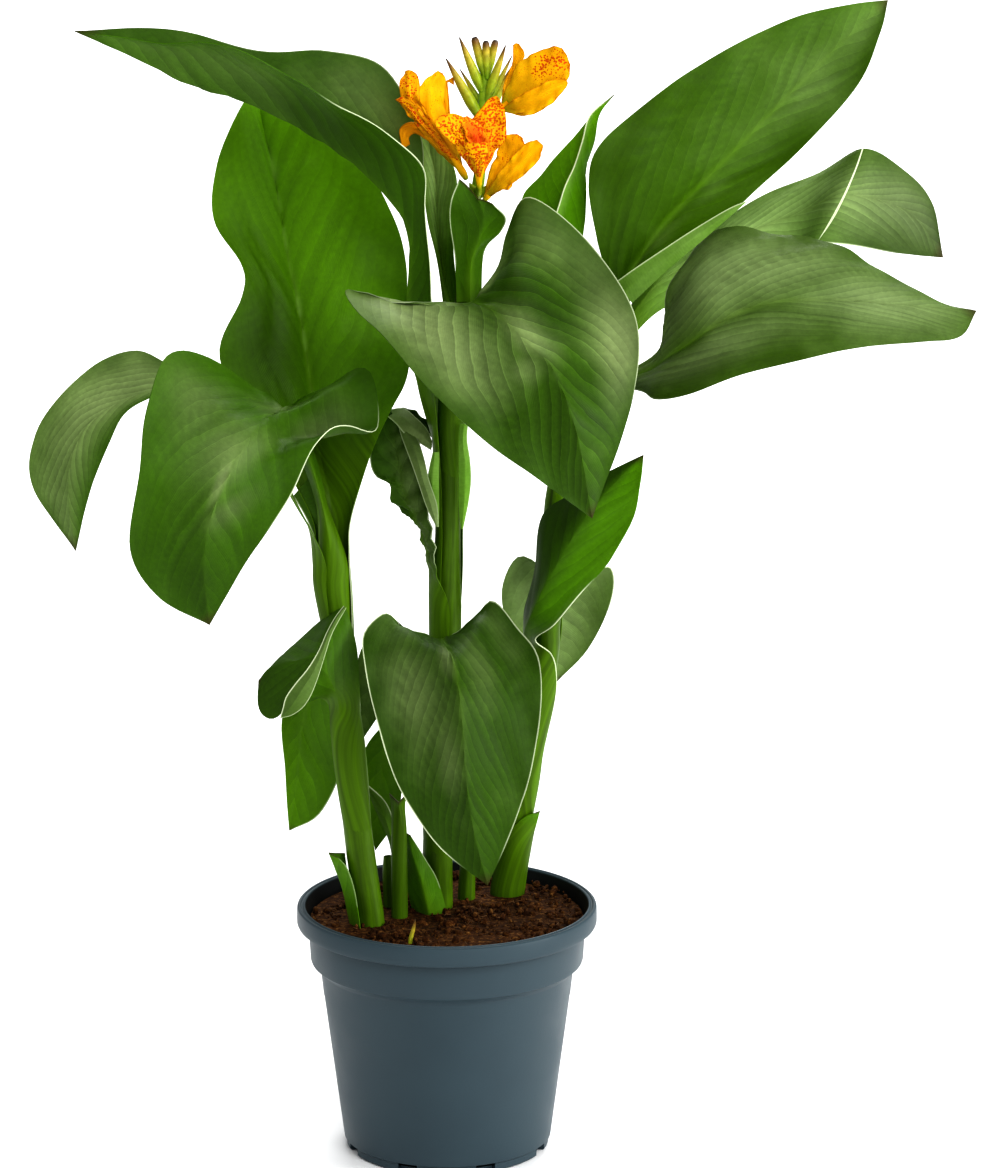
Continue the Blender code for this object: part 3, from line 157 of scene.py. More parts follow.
# Leaves: rings are (height, half wrap in degrees, facing in degrees, distance off the
# stem), rows are stations from the stem to the tip, and bow is how far the left and
# right halves belly out.
LEAVES = {
    "leaf_top_left": {
        "stem": "middle", "bow": (5, -6),
        "rings": ((369, 112, 130, 1.5), (398, 112, 127, 1.6), (436, 105, 130, 3.4)),
        "rows": stations(
            -15, 12, 481, -4, 30, 479, -6, -6, 482,
            -23, 5, 532, -11, 27, 531, -7, -13, 534,
            -22, -10, 589, -13, 12, 596, -12, -28, 606,
            -44, -15, 622, -16, 17, 647, -16, -46, 641,
            -75, -18, 647, -37, 25, 685, -49, -53, 664,
            -117, -19, 669, -73, 22, 696, -87, -53, 687,
            -153, -21, 681, -111, 12, 697, -128, -48, 707,
            -186, -21, 697, -169, -1, 712, -171, -35, 708,
            -222, -21, 713, -222, -21, 713, -222, -21, 713,
        ),
    },
    "leaf_tall_left": {
        "stem": "left", "bow": (3, 3),
        "rings": ((330, -108, 84, 1.6), (360, -104, 85, 3.2), (388, -98, 88, 5.2), (412, -84, 88, 8.0)),
        "rows": stations(
            -80, 22, 453, -113, -2, 465, -42, -4, 461,
            -84, 29, 484, -140, 12, 508, -26, 12, 488,
            -89, 38, 517, -126, 27, 543, -22, 23, 513,
            -93, 46, 538, -127, 38, 560, -24, 32, 540,
            -99, 57, 562, -144, 48, 588, -25, 44, 562,
            -104, 68, 591, -143, 60, 620, -33, 56, 589,
            -110, 78, 621, -130, 74, 651, -51, 70, 617,
            -116, 86, 646, -124, 84, 660, -84, 82, 645,
            -119, 93, 668, -119, 93, 668, -119, 93, 668,
        ),
    },
    "leaf_far_left": {
        "stem": "left", "bow": (3, 3),
        "rings": ((364, 26, 222, 6.0), (383, 26, 226, 6.6),),
        "rows": stations(
            -82, -22, 403, -84, -19, 405, -80, -26, 401,
            -91, -18, 419, -92, -15, 422, -89, -23, 417,
            -113, -11, 456, -113, -7, 461, -115, -16, 454,
            -149, 15, 479, -152, 23, 486, -151, 10, 475,
            -177, 23, 485, -176, 36, 500, -176, 16, 482,
            -194, 24, 481, -195, 44, 506, -188, 16, 479,
            -213, 24, 471, -218, 42, 498, -201, 16, 469,
            -227, 25, 457, -243, 40, 476, -210, 18, 452,
            -235, 27, 436, -258, 38, 452, -217, 22, 435,
            -237, 32, 410, -260, 39, 420, -225, 29, 413,
            -234, 41, 378, -234, 41, 378, -234, 41, 378,
        ),
    },
    "leaf_front_left": {
        "stem": "left", "bow": (4, 4),
        "rings": ((364, 105, 270, 1.9), (383, 95, 270, 2.1),),
        "rows": stations(
            -76, -18, 421, -80, -10, 419, -73, -10, 419,
            -85, -28, 456, -90, -21, 455, -81, -20, 456,
            -97, -40, 485, -102, -37, 489, -92, -34, 486,
            -101, -52, 486, -117, -32, 498, -74, -12, 493,
            -108, -64, 485, -145, -47, 519, -48, -5, 502,
            -114, -82, 480, -166, -76, 525, -41, -21, 471,
            -121, -95, 470, -176, -98, 499, -57, -50, 476,
            -131, -108, 452, -181, -111, 463, -76, -76, 474,
            -140, -111, 429, -187, -111, 414, -92, -95, 443,
            -144, -103, 400, -171, -101, 382, -118, -95, 404,
            -142, -88, 362, -142, -88, 362, -142, -88, 362,
        ),
    },
    "leaf_front_middle": {
        "stem": "middle", "bow": (4, 5),
        "rings": ((471, 125, 280, 1.6), (503, 95, 280, 1.6),),
        "rows": stations(
            14, -6, 533, 8, -3, 532, 19, -1, 533,
            15, -19, 547, 4, -18, 547, 20, -16, 550,
            22, -31, 549, -24, -19, 548, 30, -9, 565,
            29, -42, 547, -61, -6, 552, 38, -1, 588,
            40, -55, 539, -39, -46, 534, 52, 2, 609,
            52, -67, 529, -8, -72, 503, 90, -9, 580,
            65, -79, 518, 22, -85, 477, 116, -36, 541,
            79, -92, 483, 59, -92, 451, 113, -69, 495,
            89, -88, 428, 89, -88, 428, 89, -88, 428,
        ),
    },
    "leaf_top_right": {
        "stem": "right", "bow": (4, -9),
        "rings": ((466, -48, 330, 1.7), (479, -46, 330, 2.2),),
        "rows": stations(
            98, 18, 524, 92, 20, 526, 104, 12, 521,
            109, 21, 548, 98, 19, 556, 116, 9, 549,
            119, 25, 566, 93, 19, 582, 123, 9, 568,
            135, 29, 588, 88, 21, 615, 144, 9, 579,
            158, 33, 612, 96, 25, 639, 166, 15, 590,
            185, 38, 639, 133, 32, 670, 195, 26, 613,
            209, 43, 663, 173, 39, 695, 223, 35, 638,
            237, 48, 691, 216, 46, 714, 254, 44, 672,
            257, 53, 709, 250, 52, 721, 268, 52, 703,
            273, 58, 723, 273, 58, 723, 273, 58, 723,
        ),
    },
    "leaf_back_right": {
        "stem": "right", "bow": (3, 3),
        "rings": ((463, -26, 56, 1.7), (479, -26, 56, 2.2),),
        "rows": stations(
            124, 44, 540, 126, 51, 549, 127, 46, 526,
            152, 57, 558, 159, 67, 573, 159, 60, 538,
            190, 62, 578, 200, 72, 600, 191, 62, 559,
            221, 56, 591, 232, 66, 614, 216, 56, 567,
            246, 43, 604, 259, 50, 632, 231, 43, 575,
            276, 64, 596, 289, 71, 613, 265, 64, 567,
            297, 75, 582, 305, 80, 593, 290, 72, 562,
            313, 84, 558, 313, 84, 558, 313, 84, 558,
        ),
    },
    "leaf_far_right": {
        "stem": "right", "bow": (5, 4),
        "rings": ((413, -70, 320, 1.7), (436, -58, 320, 1.9),),
        "rows": stations(
            94, 16, 479, 93, 23, 481, 94, 9, 476,
            108, 2, 494, 108, 6, 497, 108, 1, 489,
            126, -11, 505, 132, -8, 517, 121, -25, 493,
            136, -20, 514, 136, -1, 543, 128, -42, 492,
            150, -28, 525, 144, 6, 566, 150, -52, 498,
            168, -35, 539, 164, 9, 587, 180, -57, 510,
            194, -38, 550, 199, -1, 588, 214, -59, 519,
            227, -40, 553, 238, -15, 582, 250, -59, 527,
            263, -40, 551, 273, -28, 564, 288, -52, 529,
            297, -40, 548, 302, -37, 550, 312, -45, 531,
            322, -40, 546, 322, -40, 546, 322, -40, 546,
        ),
    },
    "leaf_rolled": {
        "stem": "right", "bow": (3, -4),
        "rings": ((465, 46, 165, 1.7), (479, 44, 165, 2.2),),
        "rows": stations(
            81, 34, 533, 71, 42, 534, 78, 26, 533,
            85, 35, 577, 51, 47, 576, 66, 25, 577,
            87, 37, 599, 48, 51, 601, 71, 25, 606,
            87, 39, 621, 62, 51, 619, 79, 27, 623,
            92, 41, 638, 79, 47, 639, 84, 33, 639,
            95, 44, 654, 89, 47, 651, 89, 40, 654,
            104, 46, 666, 104, 46, 666, 104, 46, 666,
        ),
    },
    "bract_front": {
        "stem": "middle", "bow": (-4, -4),
        "rings": (),
        "rows": stations(
            15, -3, 545, 7, 1, 544, 22, 2, 545,
            16, -6, 570, 6, -2, 571, 24, -2, 576,
            21, -9, 585, 3, -8, 595, 34, -8, 589,
            24, -14, 600, 4, -15, 610, 37, -16, 599,
            20, -17, 611, 9, -17, 623, 29, -19, 608,
        ),
    },
    "bract_back": {
        "stem": "middle", "bow": (3, 3),
        "rings": (),
        "rows": stations(
            6, 22, 528, 0, 16, 529, 11, 21, 529,
            -2, 28, 564, -5, 20, 566, 5, 22, 568,
            -5, 30, 590, -11, 22, 593, 5, 24, 596,
            -6, 32, 615, -14, 25, 617, 7, 26, 616,
            -10, 32, 637, -17, 28, 637, 0, 28, 635,
            -15, 30, 657, -15, 30, 657, -15, 30, 657,
        ),
    },
    "leaf_low_middle": {
        "stem": "middle", "bow": (4, 4),
        "rings": ((227, 150, 275, 1.9), (265, 140, 275, 1.9), (287, 110, 275, 1.9), (306, 72, 275, 3.2)),
        "rows": stations(
            -3, -6, 332, -9, -1, 331, 2, -1, 331,
            0, -28, 334, -21, -13, 340, 11, -9, 340,
            3, -38, 332, -34, -9, 348, 25, -4, 353,
            5, -47, 328, -41, -13, 349, 32, -6, 355,
            7, -55, 320, -51, -25, 340, 44, -16, 343,
            9, -64, 310, -50, -40, 325, 57, -30, 328,
            11, -71, 290, -43, -54, 296, 59, -47, 302,
            13, -76, 260, -29, -64, 254, 53, -60, 263,
            18, -74, 225, -4, -67, 216, 40, -67, 224,
            26, -67, 191, 26, -67, 191, 26, -67, 191,
        ),
    },
    "leaf_low_right": {
        "stem": "right", "bow": (3, -3),
        "rings": (
            (221, 160, 200, 2.0), (247, 155, 202, 2.0), (281, 145, 205, 2.1), (300, 112, 210, 2.4),
            (314, 72, 214, 4.0),
        ),
        "rows": stations(
            49, 24, 328, 49, 34, 333, 56, 14, 327,
            54, 8, 346, 51, 21, 354, 68, -5, 342,
            63, -2, 368, 56, 16, 378, 86, -15, 367,
            75, -7, 391, 60, 14, 407, 103, -18, 388,
            89, -11, 415, 77, 6, 422, 115, -19, 411,
            106, -12, 435, 99, -5, 438, 120, -18, 434,
            122, -12, 451, 122, -12, 451, 122, -12, 451,
        ),
    },
    "leaf_behind_right": {
        "stem": "right", "bow": (3, 3),
        "rings": ((320, -60, 88, 1.6), (339, -55, 88, 1.7),),
        "rows": stations(
            67, 56, 356, 63, 56, 357, 72, 56, 356,
            66, 71, 348, 46, 57, 370, 88, 62, 359,
            66, 85, 333, 35, 67, 348, 104, 72, 360,
            67, 97, 313, 39, 85, 316, 105, 85, 335,
            69, 108, 292, 53, 103, 290, 91, 103, 299,
            71, 118, 273, 71, 118, 273, 71, 118, 273,
        ),
    },
    "leaf_wavy": {
        "stem": "middle", "bow": (3, 2),
        "rings": ((324, 92, 185, 1.6), (352, 90, 187, 1.8),),
        "rows": stations(
            -11, 8, 376, -10, 18, 377, -6, -2, 373,
            -15, 8, 395, -14, 14, 402, -7, -2, 392,
            -20, 10, 408, -24, 16, 408, -10, 2, 407,
            -25, 13, 417, -34, 15, 416, -11, 5, 416,
            -27, 14, 426, -35, 12, 427, -12, 8, 426,
            -29, 15, 437, -45, 12, 434, -14, 9, 436,
            -31, 18, 452, -47, 15, 448, -16, 13, 449,
            -30, 22, 463, -40, 20, 464, -20, 20, 459,
            -21, 30, 470, -31, 30, 472, -14, 32, 459,
            -5, 36, 456, -10, 38, 460, -4, 38, 446,
            14, 42, 438, 14, 42, 438, 14, 42, 438,
        ),
    },
    "leaf_curled": {
        "stem": "left", "bow": (0, 0),
        "rings": ((248, 150, 250, 1.5), (276, 135, 255, 1.6),),
        "rows": stations(
            -67, -26, 299, -78, -16, 297, -54, -11, 301,
            -73, -37, 317, -95, -37, 293, -56, -12, 333,
            -78, -46, 332, -101, -44, 295, -62, -24, 357,
            -92, -37, 326, -109, -39, 290, -74, -15, 348,
            -108, -28, 320, -116, -33, 296, -93, -15, 333,
            -116, -26, 311, -116, -26, 311, -116, -26, 311,
        ),
    },
    "leaf_behind_left": {
        "stem": "left", "bow": (3, 3),
        "rings": ((283, -45, 110, 1.7),),
        "rows": stations(
            -73, 9, 296, -75, 9, 300, -71, 9, 291,
            -82, 19, 293, -94, 16, 298, -68, 14, 280,
            -91, 28, 271, -104, 23, 274, -68, 23, 258,
            -95, 33, 237, -103, 31, 237, -69, 31, 233,
            -98, 34, 213, -102, 34, 211, -82, 33, 207,
            -101, 35, 196, -101, 35, 196, -101, 35, 196,
        ),
    },
    "leaf_low_behind": {
        "stem": "middle", "bow": (2, 2),
        "rings": (),
        "rows": stations(
            -11, 31, 256, -12, 33, 261, -11, 33, 250,
            -22, 41, 268, -26, 42, 271, -21, 42, 261,
            -34, 50, 261, -42, 50, 260, -28, 50, 248,
            -42, 60, 232, -55, 58, 238, -29, 58, 223,
            -45, 65, 204, -54, 64, 208, -33, 63, 196,
            -47, 67, 173, -47, 67, 173, -47, 67, 173,
        ),
    },
    "leaf_mid_behind": {
        "stem": "middle", "bow": (2, 2),
        "rings": (),
        "rows": stations(
            -10, 30, 290, -11, 32, 295, -10, 32, 284,
            -23, 36, 308, -27, 37, 313, -22, 37, 303,
            -36, 43, 314, -48, 43, 320, -29, 43, 304,
            -47, 47, 298, -57, 44, 305, -35, 45, 286,
            -52, 49, 276, -57, 47, 279, -43, 48, 270,
            -55, 50, 251, -55, 50, 251, -55, 50, 251,
        ),
    },
    "leaf_shoot": {
        "stem": "shoot", "bow": (2, 2),
        "rings": (),
        "rows": stations(
            -30, 9, 180, -34, 12, 179, -27, 12, 181,
            -35, 9, 199, -37, 12, 197, -32, 12, 201,
            -42, 9, 219, -45, 11, 216, -38, 11, 221,
            -52, 9, 236, -52, 9, 236, -52, 9, 236,
        ),
    },
    "sheath_left": {
        "stem": "left", "bow": (2, 2),
        "rings": (),
        "rows": stations(
            -60, -15, 147, -56, -3, 145, -54, -26, 149,
            -65, -15, 172, -61, -2, 169, -57, -25, 173,
            -70, -14, 186, -64, -5, 189, -62, -23, 188,
            -74, -13, 196, -64, -8, 194, -68, -17, 194,
        ),
    },
    "sheath_middle": {
        "stem": "middle", "bow": (3, 3),
        "rings": (),
        "rows": stations(
            -11, 2, 149, -22, 14, 148, 0, 7, 150,
            -16, 2, 172, -25, 14, 166, -6, 6, 172,
            -21, 4, 187, -26, 14, 183, -13, 6, 185,
            -25, 9, 202, -27, 11, 200, -23, 8, 201,
        ),
    },
    "sheath_right": {
        "stem": "right", "bow": (2, 2),
        "rings": ((150, 150, 345, 2.2), (168, 145, 345, 2.2), (187, 118, 345, 2.8)),
        "rows": stations(
            57, 43, 199, 47, 36, 203, 52, 58, 193,
            59, 42, 207, 57, 39, 207, 58, 45, 205,
        ),
    },
    "sheath_shoot": {
        "stem": "shoot", "bow": (1, 1),
        "rings": ((150, 150, -70, 1.3), (181, 150, -70, 1.3), (208, 150, -70, 1.4)),
        "rows": stations(
            -30, -7, 227, -36, 3, 230, -25, 4, 230,
        ),
    },
}

# Petals of each bloom: stations as for the leaves, from the tube outward.
PETALS = {
    "flower_left": (
        stations(
            9.3, -6, 629.2, 7.4, -6, 629.8, 11.1, -7, 628.1,
            0.3, -12, 644.7, -5.8, -13, 647.9, 6.9, -10, 649.3,
            -8.1, -15, 660.3, -16, -15, 663.4, 0.9, -9, 662.6,
            -8.7, -16, 671.4, -17.1, -17, 671.5, -0.3, -8, 671,
            -8.1, -14, 679, -15.3, -18, 678.3, 0.3, -7, 679.3,
            -4.5, -12, 684.8, -11.7, -15, 681.6, 0.9, -8, 683.7,
            -3.9, -9, 687.5, -5.1, -10, 687, -2.7, -9, 686.9,
        ),
        stations(
            6.2, -6, 632.9, 5, -5, 633.3, 7.5, -7, 633,
            -4, -9, 647.4, -6.5, -8, 646.6, -0.9, -11, 649.5,
            -14.8, -14, 659.6, -19.7, -13, 659.5, -10.5, -16, 663.5,
            -20.1, -18, 670.4, -25, -16, 669.6, -14.7, -19, 673,
            -21.3, -19, 678.4, -26.8, -16, 678.1, -14.7, -18, 679.5,
            -21.3, -16, 684.1, -25.6, -13, 683.7, -15.9, -15, 684.6,
            -21.4, -12, 688.4, -23.8, -11, 687.7, -19.6, -12, 687.8,
        ),
        stations(
            6.3, -9, 632.7, 4.4, -8, 632.6, 8.1, -10, 633.5,
            -5.1, -17, 647.3, -8.2, -15, 647, -2.7, -18, 649.2,
            -14.1, -20, 658, -18.4, -18, 657.7, -11.1, -21, 660.5,
            -20.6, -23, 666.9, -24.3, -21, 666, -17, -24, 669.4,
            -28.4, -24, 672.4, -29.1, -23, 672.3, -26, -25, 673.8,
        ),
        stations(
            9.9, -3, 626.9, 8, -2, 626.2, 11.7, -4, 626.5,
            -2.3, -3, 638.6, -4.7, -2, 637.8, 0.2, -4, 640.5,
            -12, -4, 649.7, -14.4, -3, 649, -9.5, -5, 652.3,
            -17.4, -5, 656.6, -18.6, -5, 655.9, -16.2, -5, 657.2,
        ),
        stations(
            6.8, -3.5, 630.7, 5.6, -3, 631.2, 8, -3.5, 629.5,
            -7.8, 1, 643.5, -9.6, 2, 645.8, -6.6, 0, 641.2,
            -18.2, 4, 651, -19.4, 4, 654.7, -17, 4, 647.4,
            -24.9, 3, 648.1, -27.3, 3, 650.6, -21.8, 3, 645.7,
            -23.6, 0, 640, -26.1, 0, 639.4, -21.2, 0, 641.8,
        ),
        stations(
            8.7, -4.4, 630.2, 7.4, -4.4, 630.8, 10.5, -5, 629.1,
            2, -2, 650.7, 0.2, -2, 650, 4.4, -2, 651.9,
            0.2, 0, 668.7, -2.2, 0, 668.1, 2.6, 0, 669.3,
            0.2, 2, 678.2, -2.8, 2, 677, 2, 2, 679.4,
            5.7, 3, 679.9, 5.1, 3, 682.3, 5.6, 3, 677.4,
        ),
    ),
    "flower_front": (
        stations(
            20.9, -14, 623, 19.6, -14, 623.7, 22.1, -15, 623.2,
            14.3, -23, 640.2, 10, -22, 638.2, 19.1, -24, 644,
            9.5, -29, 650.1, 4.7, -28, 647, 15.5, -28, 655.4,
            4.1, -33, 657.3, -1.9, -33, 653.7, 11.3, -30, 662.4,
            -0.6, -35, 661.2, -5.4, -36, 658.4, 4.8, -33, 664.6,
            -4.2, -35, 662.4, -5.4, -36, 661.4, -1.2, -35, 664.3,
        ),
        stations(
            21.5, -13, 622.9, 20.2, -13, 623.5, 22.7, -13, 623.5,
            25.1, -17, 639.3, 19.1, -19, 640.2, 31.8, -15, 640.9,
            27, -19, 648.7, 17.3, -22, 648, 37.2, -17, 648.5,
            27.6, -21, 658.1, 16.1, -24, 657.3, 37.2, -19, 657.9,
            28.2, -23, 665.7, 19.1, -26, 663.6, 36.6, -21, 664.8,
            30, -26, 671.5, 24.6, -27, 670.4, 34.8, -24, 669.4,
            31.2, -28, 674.8, 29.4, -28, 674.2, 33, -27, 673.4,
        ),
        stations(
            21.5, -16, 624.6, 20.3, -16, 625.2, 22.7, -16, 625.2,
            21.5, -24, 640.3, 16.1, -27, 642, 27, -22, 641.3,
            19.7, -27, 650.5, 13.1, -31, 651, 26.4, -24, 648.8,
            14.9, -29, 658, 10.7, -31, 658.3, 21.5, -26, 657.6,
            11.9, -30, 662.4, 10.8, -31, 661.9, 13.7, -29, 662.8,
        ),
        stations(
            20.9, -18, 624.2, 19.7, -18, 624.9, 22.1, -18, 624.9,
            20.3, -29, 635, 15.5, -28, 636.7, 24.6, -28, 636.1,
            19.2, -35, 641.3, 12.5, -33, 642.2, 26.4, -33, 642.2,
            19.2, -37, 647.6, 13.2, -35, 648, 26.4, -35, 648,
        ),
    ),
    "flower_upper": (
        stations(
            34.8, 6, 663, 34.2, 6, 664.8, 36, 5, 660.7,
            42.1, 1, 669.2, 38.5, 5, 677.2, 45.1, -4, 660.7,
            50.6, -3, 677, 45.1, 4, 690.7, 57.8, -9, 664.4,
            59.6, -6, 684.7, 54.2, 1, 696.5, 67.5, -12, 673.3,
            68.1, -8, 691.6, 63.9, -2, 701.1, 74.7, -11, 682.9,
            74.1, -8, 697, 71.1, -5, 700.9, 75.9, -9, 691.1,
        ),
        stations(
            35.4, 7, 664.1, 34.2, 7, 664.1, 36.6, 7, 664.7,
            39.1, 9, 677.3, 36, 9, 677.3, 42.7, 8, 679.2,
            43.3, 11, 689.2, 40.9, 11, 689.2, 47.6, 9, 691.3,
            44.6, 13, 696.3, 41.5, 13, 696.3, 48.2, 11, 696.5,
            43.3, 13, 701.8, 41.5, 13, 700.6, 45.2, 13, 701.2,
        ),
        stations(
            35.4, 4, 662.1, 34.8, 4, 662.7, 36, 3, 661.6,
            45.7, -4, 665, 43.3, -3, 670.3, 48.2, -6, 659.7,
            57.2, -10, 671.2, 54.2, -8, 677, 60.2, -12, 664.8,
            66.8, -13, 677.1, 64.4, -11, 682.3, 69.3, -14, 672.9,
            74.7, -13, 680.7, 73.5, -13, 683.1, 74.1, -13, 678.9,
        ),
    ),
    "flower_lower": (
        stations(
            25.7, 1, 610.4, 24.4, 1, 611.6, 26.9, 0, 609.9,
            31.2, -4, 622.8, 26.9, -3, 624.5, 36.6, -6, 620.6,
            37.9, -8, 633.8, 32.4, -5, 637.6, 44.5, -11, 631.2,
            41.5, -10, 642, 34.8, -7, 645.9, 48.1, -13, 639.4,
            43.9, -11, 649.5, 40.3, -9, 649.2, 47.5, -12, 647.2,
        ),
        stations(
            26.3, -1, 610.7, 25.1, -1, 611.9, 27.5, -1, 610.1,
            35.4, -7, 620.2, 33, -6, 624.9, 37.9, -8, 616.6,
            44.5, -12, 629.5, 41.5, -12, 636.2, 48.2, -13, 624.7,
            52.4, -15, 637.8, 49.3, -15, 644.5, 56.6, -16, 633.7,
            59.6, -16, 643.5, 56, -16, 646.5, 59.6, -17, 640.6,
        ),
        stations(
            26.3, 1, 609.1, 25.7, 1, 610.4, 26.9, 0, 608.7,
            33, -2, 615.7, 31.8, -2, 618.8, 34.2, -3, 614,
            37.9, -4, 617.9, 37.3, -4, 621.6, 38.5, -4, 614.2,
            41.5, -4, 618.5, 40.9, -4, 620.3, 40.9, -4, 616.7,
        ),
    ),
}
FLOWER_TUBES = {
    "flower_left": ((13, -3, 621, 1.5), (11, -5, 625, 2.4), (7, -8, 632, 2.2), (2, -10, 639, 1.0)),
    "flower_front": ((21, -10, 616, 1.4), (21, -14, 623, 2.0), (21, -19, 630, 3.4), (20, -24, 637, 3.0)),
    "flower_upper": ((33, 6, 662, 1.4), (35, 6, 663, 2.4), (39, 4, 667, 1.6)),
    "flower_lower": ((24, 1, 607, 1.4), (26, 1, 610, 2.3), (29, -1, 616, 1.4)),
}
SPIKE = (
    (18, 8, 606, 3.6), (20, 7, 615, 3.8), (22, 6, 631, 3.3), (23, 8, 655, 3.2),
    (24, 9, 669, 3.6), (25, 9, 686, 3.2), (26, 9, 700, 2.2),
)
BUDS = (
    ((23, 8, 654), (1, -2, 694), 3.7),
    ((24, 11, 662), (9, 14, 686), 1.9),
    ((24, 9, 670), (9, -2, 707), 3.3),
    ((25, 7, 667), (37, -1, 702), 3.0),
    ((26, 10, 664), (41, 14, 694), 2.0),
    ((27, 11, 659), (40, 16, 686), 2.8),
)
CALYXES = (
    ((20, 6, 608), (15, -1, 618), 3.0),
    ((20, 6, 608), (21, -9, 620), 2.6),
    ((21, 7, 608), (27, 2, 617), 2.6),
    ((24, 8, 653), (31, 6, 661), 2.8),
)
STUBS = (
    ((25, 8, 680), (18, 6, 706), 2.9),
    ((26, 6, 681), (25, 4, 704), 2.6),
    ((26, 9, 682), (31, 8, 704), 2.5),
)
SPROUT = ((-22, -56, 140, 0.9), (-22, -56, 152, 1.5), (-20, -56, 160, 1.2), (-19, -56, 166, 0.3))

# Margins turned over: look is (tone, bloom of wax and painted sheen, whiteness of the left and right
# margin, painted light and shade).
FOLDS = {
    "leaf_curled": (
        ((0.4, 0.5, 1, 0.5, 0.8), stations(
            -62, -29, 358.7, -62.7, -27, 358.9, -61.5, -27, 357.6,
            -66.9, -33, 352.7, -67.9, -31, 352.9, -65.7, -31, 350.9,
            -71.6, -40, 344.9, -72.9, -38, 345.1, -70.2, -38, 343.2,
            -75.8, -47, 334.7, -77.7, -45, 335.4, -74.1, -44, 332,
            -81.2, -51, 323, -84.4, -49, 325, -78.4, -46, 318.5,
            -87.4, -53, 313.4, -92.4, -50, 315.1, -82.8, -47, 307.3,
            -93.1, -52, 304.2, -98.1, -49, 306.6, -87.8, -46, 299.4,
            -97.5, -50, 297.9, -100.1, -48, 299.3, -94.7, -46, 294.3,
            -102, -47, 292.7, -102, -47, 292.7, -102, -47, 292.7,
        )),
    ),
    "leaf_front_left": (
        ((0.6, 0.1, 0.6, 0, 0.6), stations(
            -89.5, -4, 429, -94.6, -2, 422.9, -84.4, -6, 435.2,
            -85.3, -4, 418.9, -90.4, -2, 415.9, -79.6, -6, 421.2,
            -80.4, -4, 406.8, -85.5, -2, 406.4, -76, -6, 407.3,
            -76.9, -4, 392.2, -80, -2, 391.7, -73.1, -6, 392.7,
            -73.3, -4, 375, -75.8, -2, 374.5, -70.7, -6, 375.5,
            -70.9, -5, 357.3, -70.9, -5, 357.3, -70.9, -5, 357.3,
        )),
    ),
    "leaf_wavy": (
        ((0.3, 0.75, 0.4, 0.2, 0.85), stations(
            -5.4, -8, 404.6, -6, -7, 405, -4.5, -7, 404.3,
            -9.1, -8, 418.5, -11.6, -6, 416.2, -5.4, -6, 418.1,
            -14, -5, 433.7, -17.1, -3, 432, -10.3, -3, 433.2,
            -17.7, 0, 446.5, -21.5, 2, 443.6, -13.5, 2, 446.1,
            -22.2, 8, 456.2, -25.9, 9, 453.5, -17.2, 9, 456,
            -26, 14, 462.6, -28.5, 15, 459.9, -22.3, 15, 462.4,
            -29.2, 20, 467.7, -30.5, 20, 466.4, -27.4, 21, 468.8,
            -33.7, 26, 470.3, -33.7, 26, 470.3, -33.7, 26, 470.3,
        )),
        ((0.2, 1, 0.5, 0.3, 1), stations(
            -8.5, 6, 452.8, -9.2, 8, 449.9, -8.6, 8, 455.6,
            -13.5, 8, 458.1, -17.3, 10, 454.5, -12.3, 12, 463,
            -21, 12, 464.3, -25.4, 12, 459.2, -19.8, 18, 469.4,
            -27.3, 18, 468.7, -31, 16, 464.7, -25.5, 24, 472.6,
            -34.9, 24, 469.4, -36.1, 22, 467.9, -32.4, 26, 472.2,
            -38.7, 26, 468.4, -38.7, 26, 468.4, -38.7, 26, 468.4,
        )),
    ),
    "leaf_back_right": (
        ((0.9, 1, 1, 1, 1), stations(
            256.7, 26, 635.7, 256.3, 26, 635.7, 257.1, 26, 635.7,
            252.4, 23, 623.7, 252, 23, 623.7, 252.9, 23, 623.6,
            245.6, 19, 608.2, 245.1, 19, 608.5, 246.2, 19, 608,
            237.7, 17, 593.1, 237.2, 17, 593.4, 238.3, 17, 592.7,
            229.3, 16, 579.6, 229.3, 16, 579.6, 229.3, 16, 579.6,
        )),
    ),
    "leaf_top_right": (
        ((1, 0.5, 0.6, 0, 1.1), stations(
            109.4, -8, 551.9, 105.2, -5, 558.2, 114.5, -5, 544.6,
            122.2, -10, 562.8, 117.9, -8, 568, 126.6, -7, 556.7,
            136, -12, 574.2, 132.4, -10, 578.2, 139.8, -9, 569.4,
            150.5, -13, 585.5, 148.1, -11, 588.9, 153.7, -10, 581.3,
            165.7, -12, 596.4, 163.9, -10, 598.5, 167.7, -9, 593.5,
            176, -10, 603.4, 174.8, -9, 604.5, 177.4, -8, 601.9,
            184, -8, 608.1, 184, -8, 608.1, 184, -8, 608.1,
        )),
    ),
    "leaf_front_middle": (
        ((1, 0.3, 0, 0.3, 1.25), stations(
            10, 2, 401, 9.4, 3, 400.8, 10.6, 3, 401.4,
            11.3, 1, 416.5, 8.1, 3, 416.1, 14, 3, 418,
            11.9, 1, 431.1, 8.2, 3, 430.7, 15.6, 3, 431.9,
            11.9, 1, 443.8, 8.2, 3, 443.4, 15, 3, 444.6,
            10.7, 1, 456.4, 8.2, 3, 456, 13.2, 3, 457.3,
            11.4, 2, 467.6, 8.9, 3, 467.4, 13.8, 3, 467.4,
        )),
        ((1, 0.45, 0.3, 0, 1.1), stations(
            -5.5, -2, 403.2, -6.1, 0, 402.8, -4.6, -1, 403,
            -7.3, -2, 415.3, -9.2, 0, 414.8, -4.2, -1, 415.1,
            -8.5, -2, 428, -11.6, 0, 428.2, -4.2, -1, 428.4,
            -7.8, -2, 439.4, -10.4, 0, 438.9, -4.1, -1, 439.1,
            -6.6, -2, 450.7, -7.8, 0, 450.3, -4.1, -1, 450.5,
        )),
    ),
}

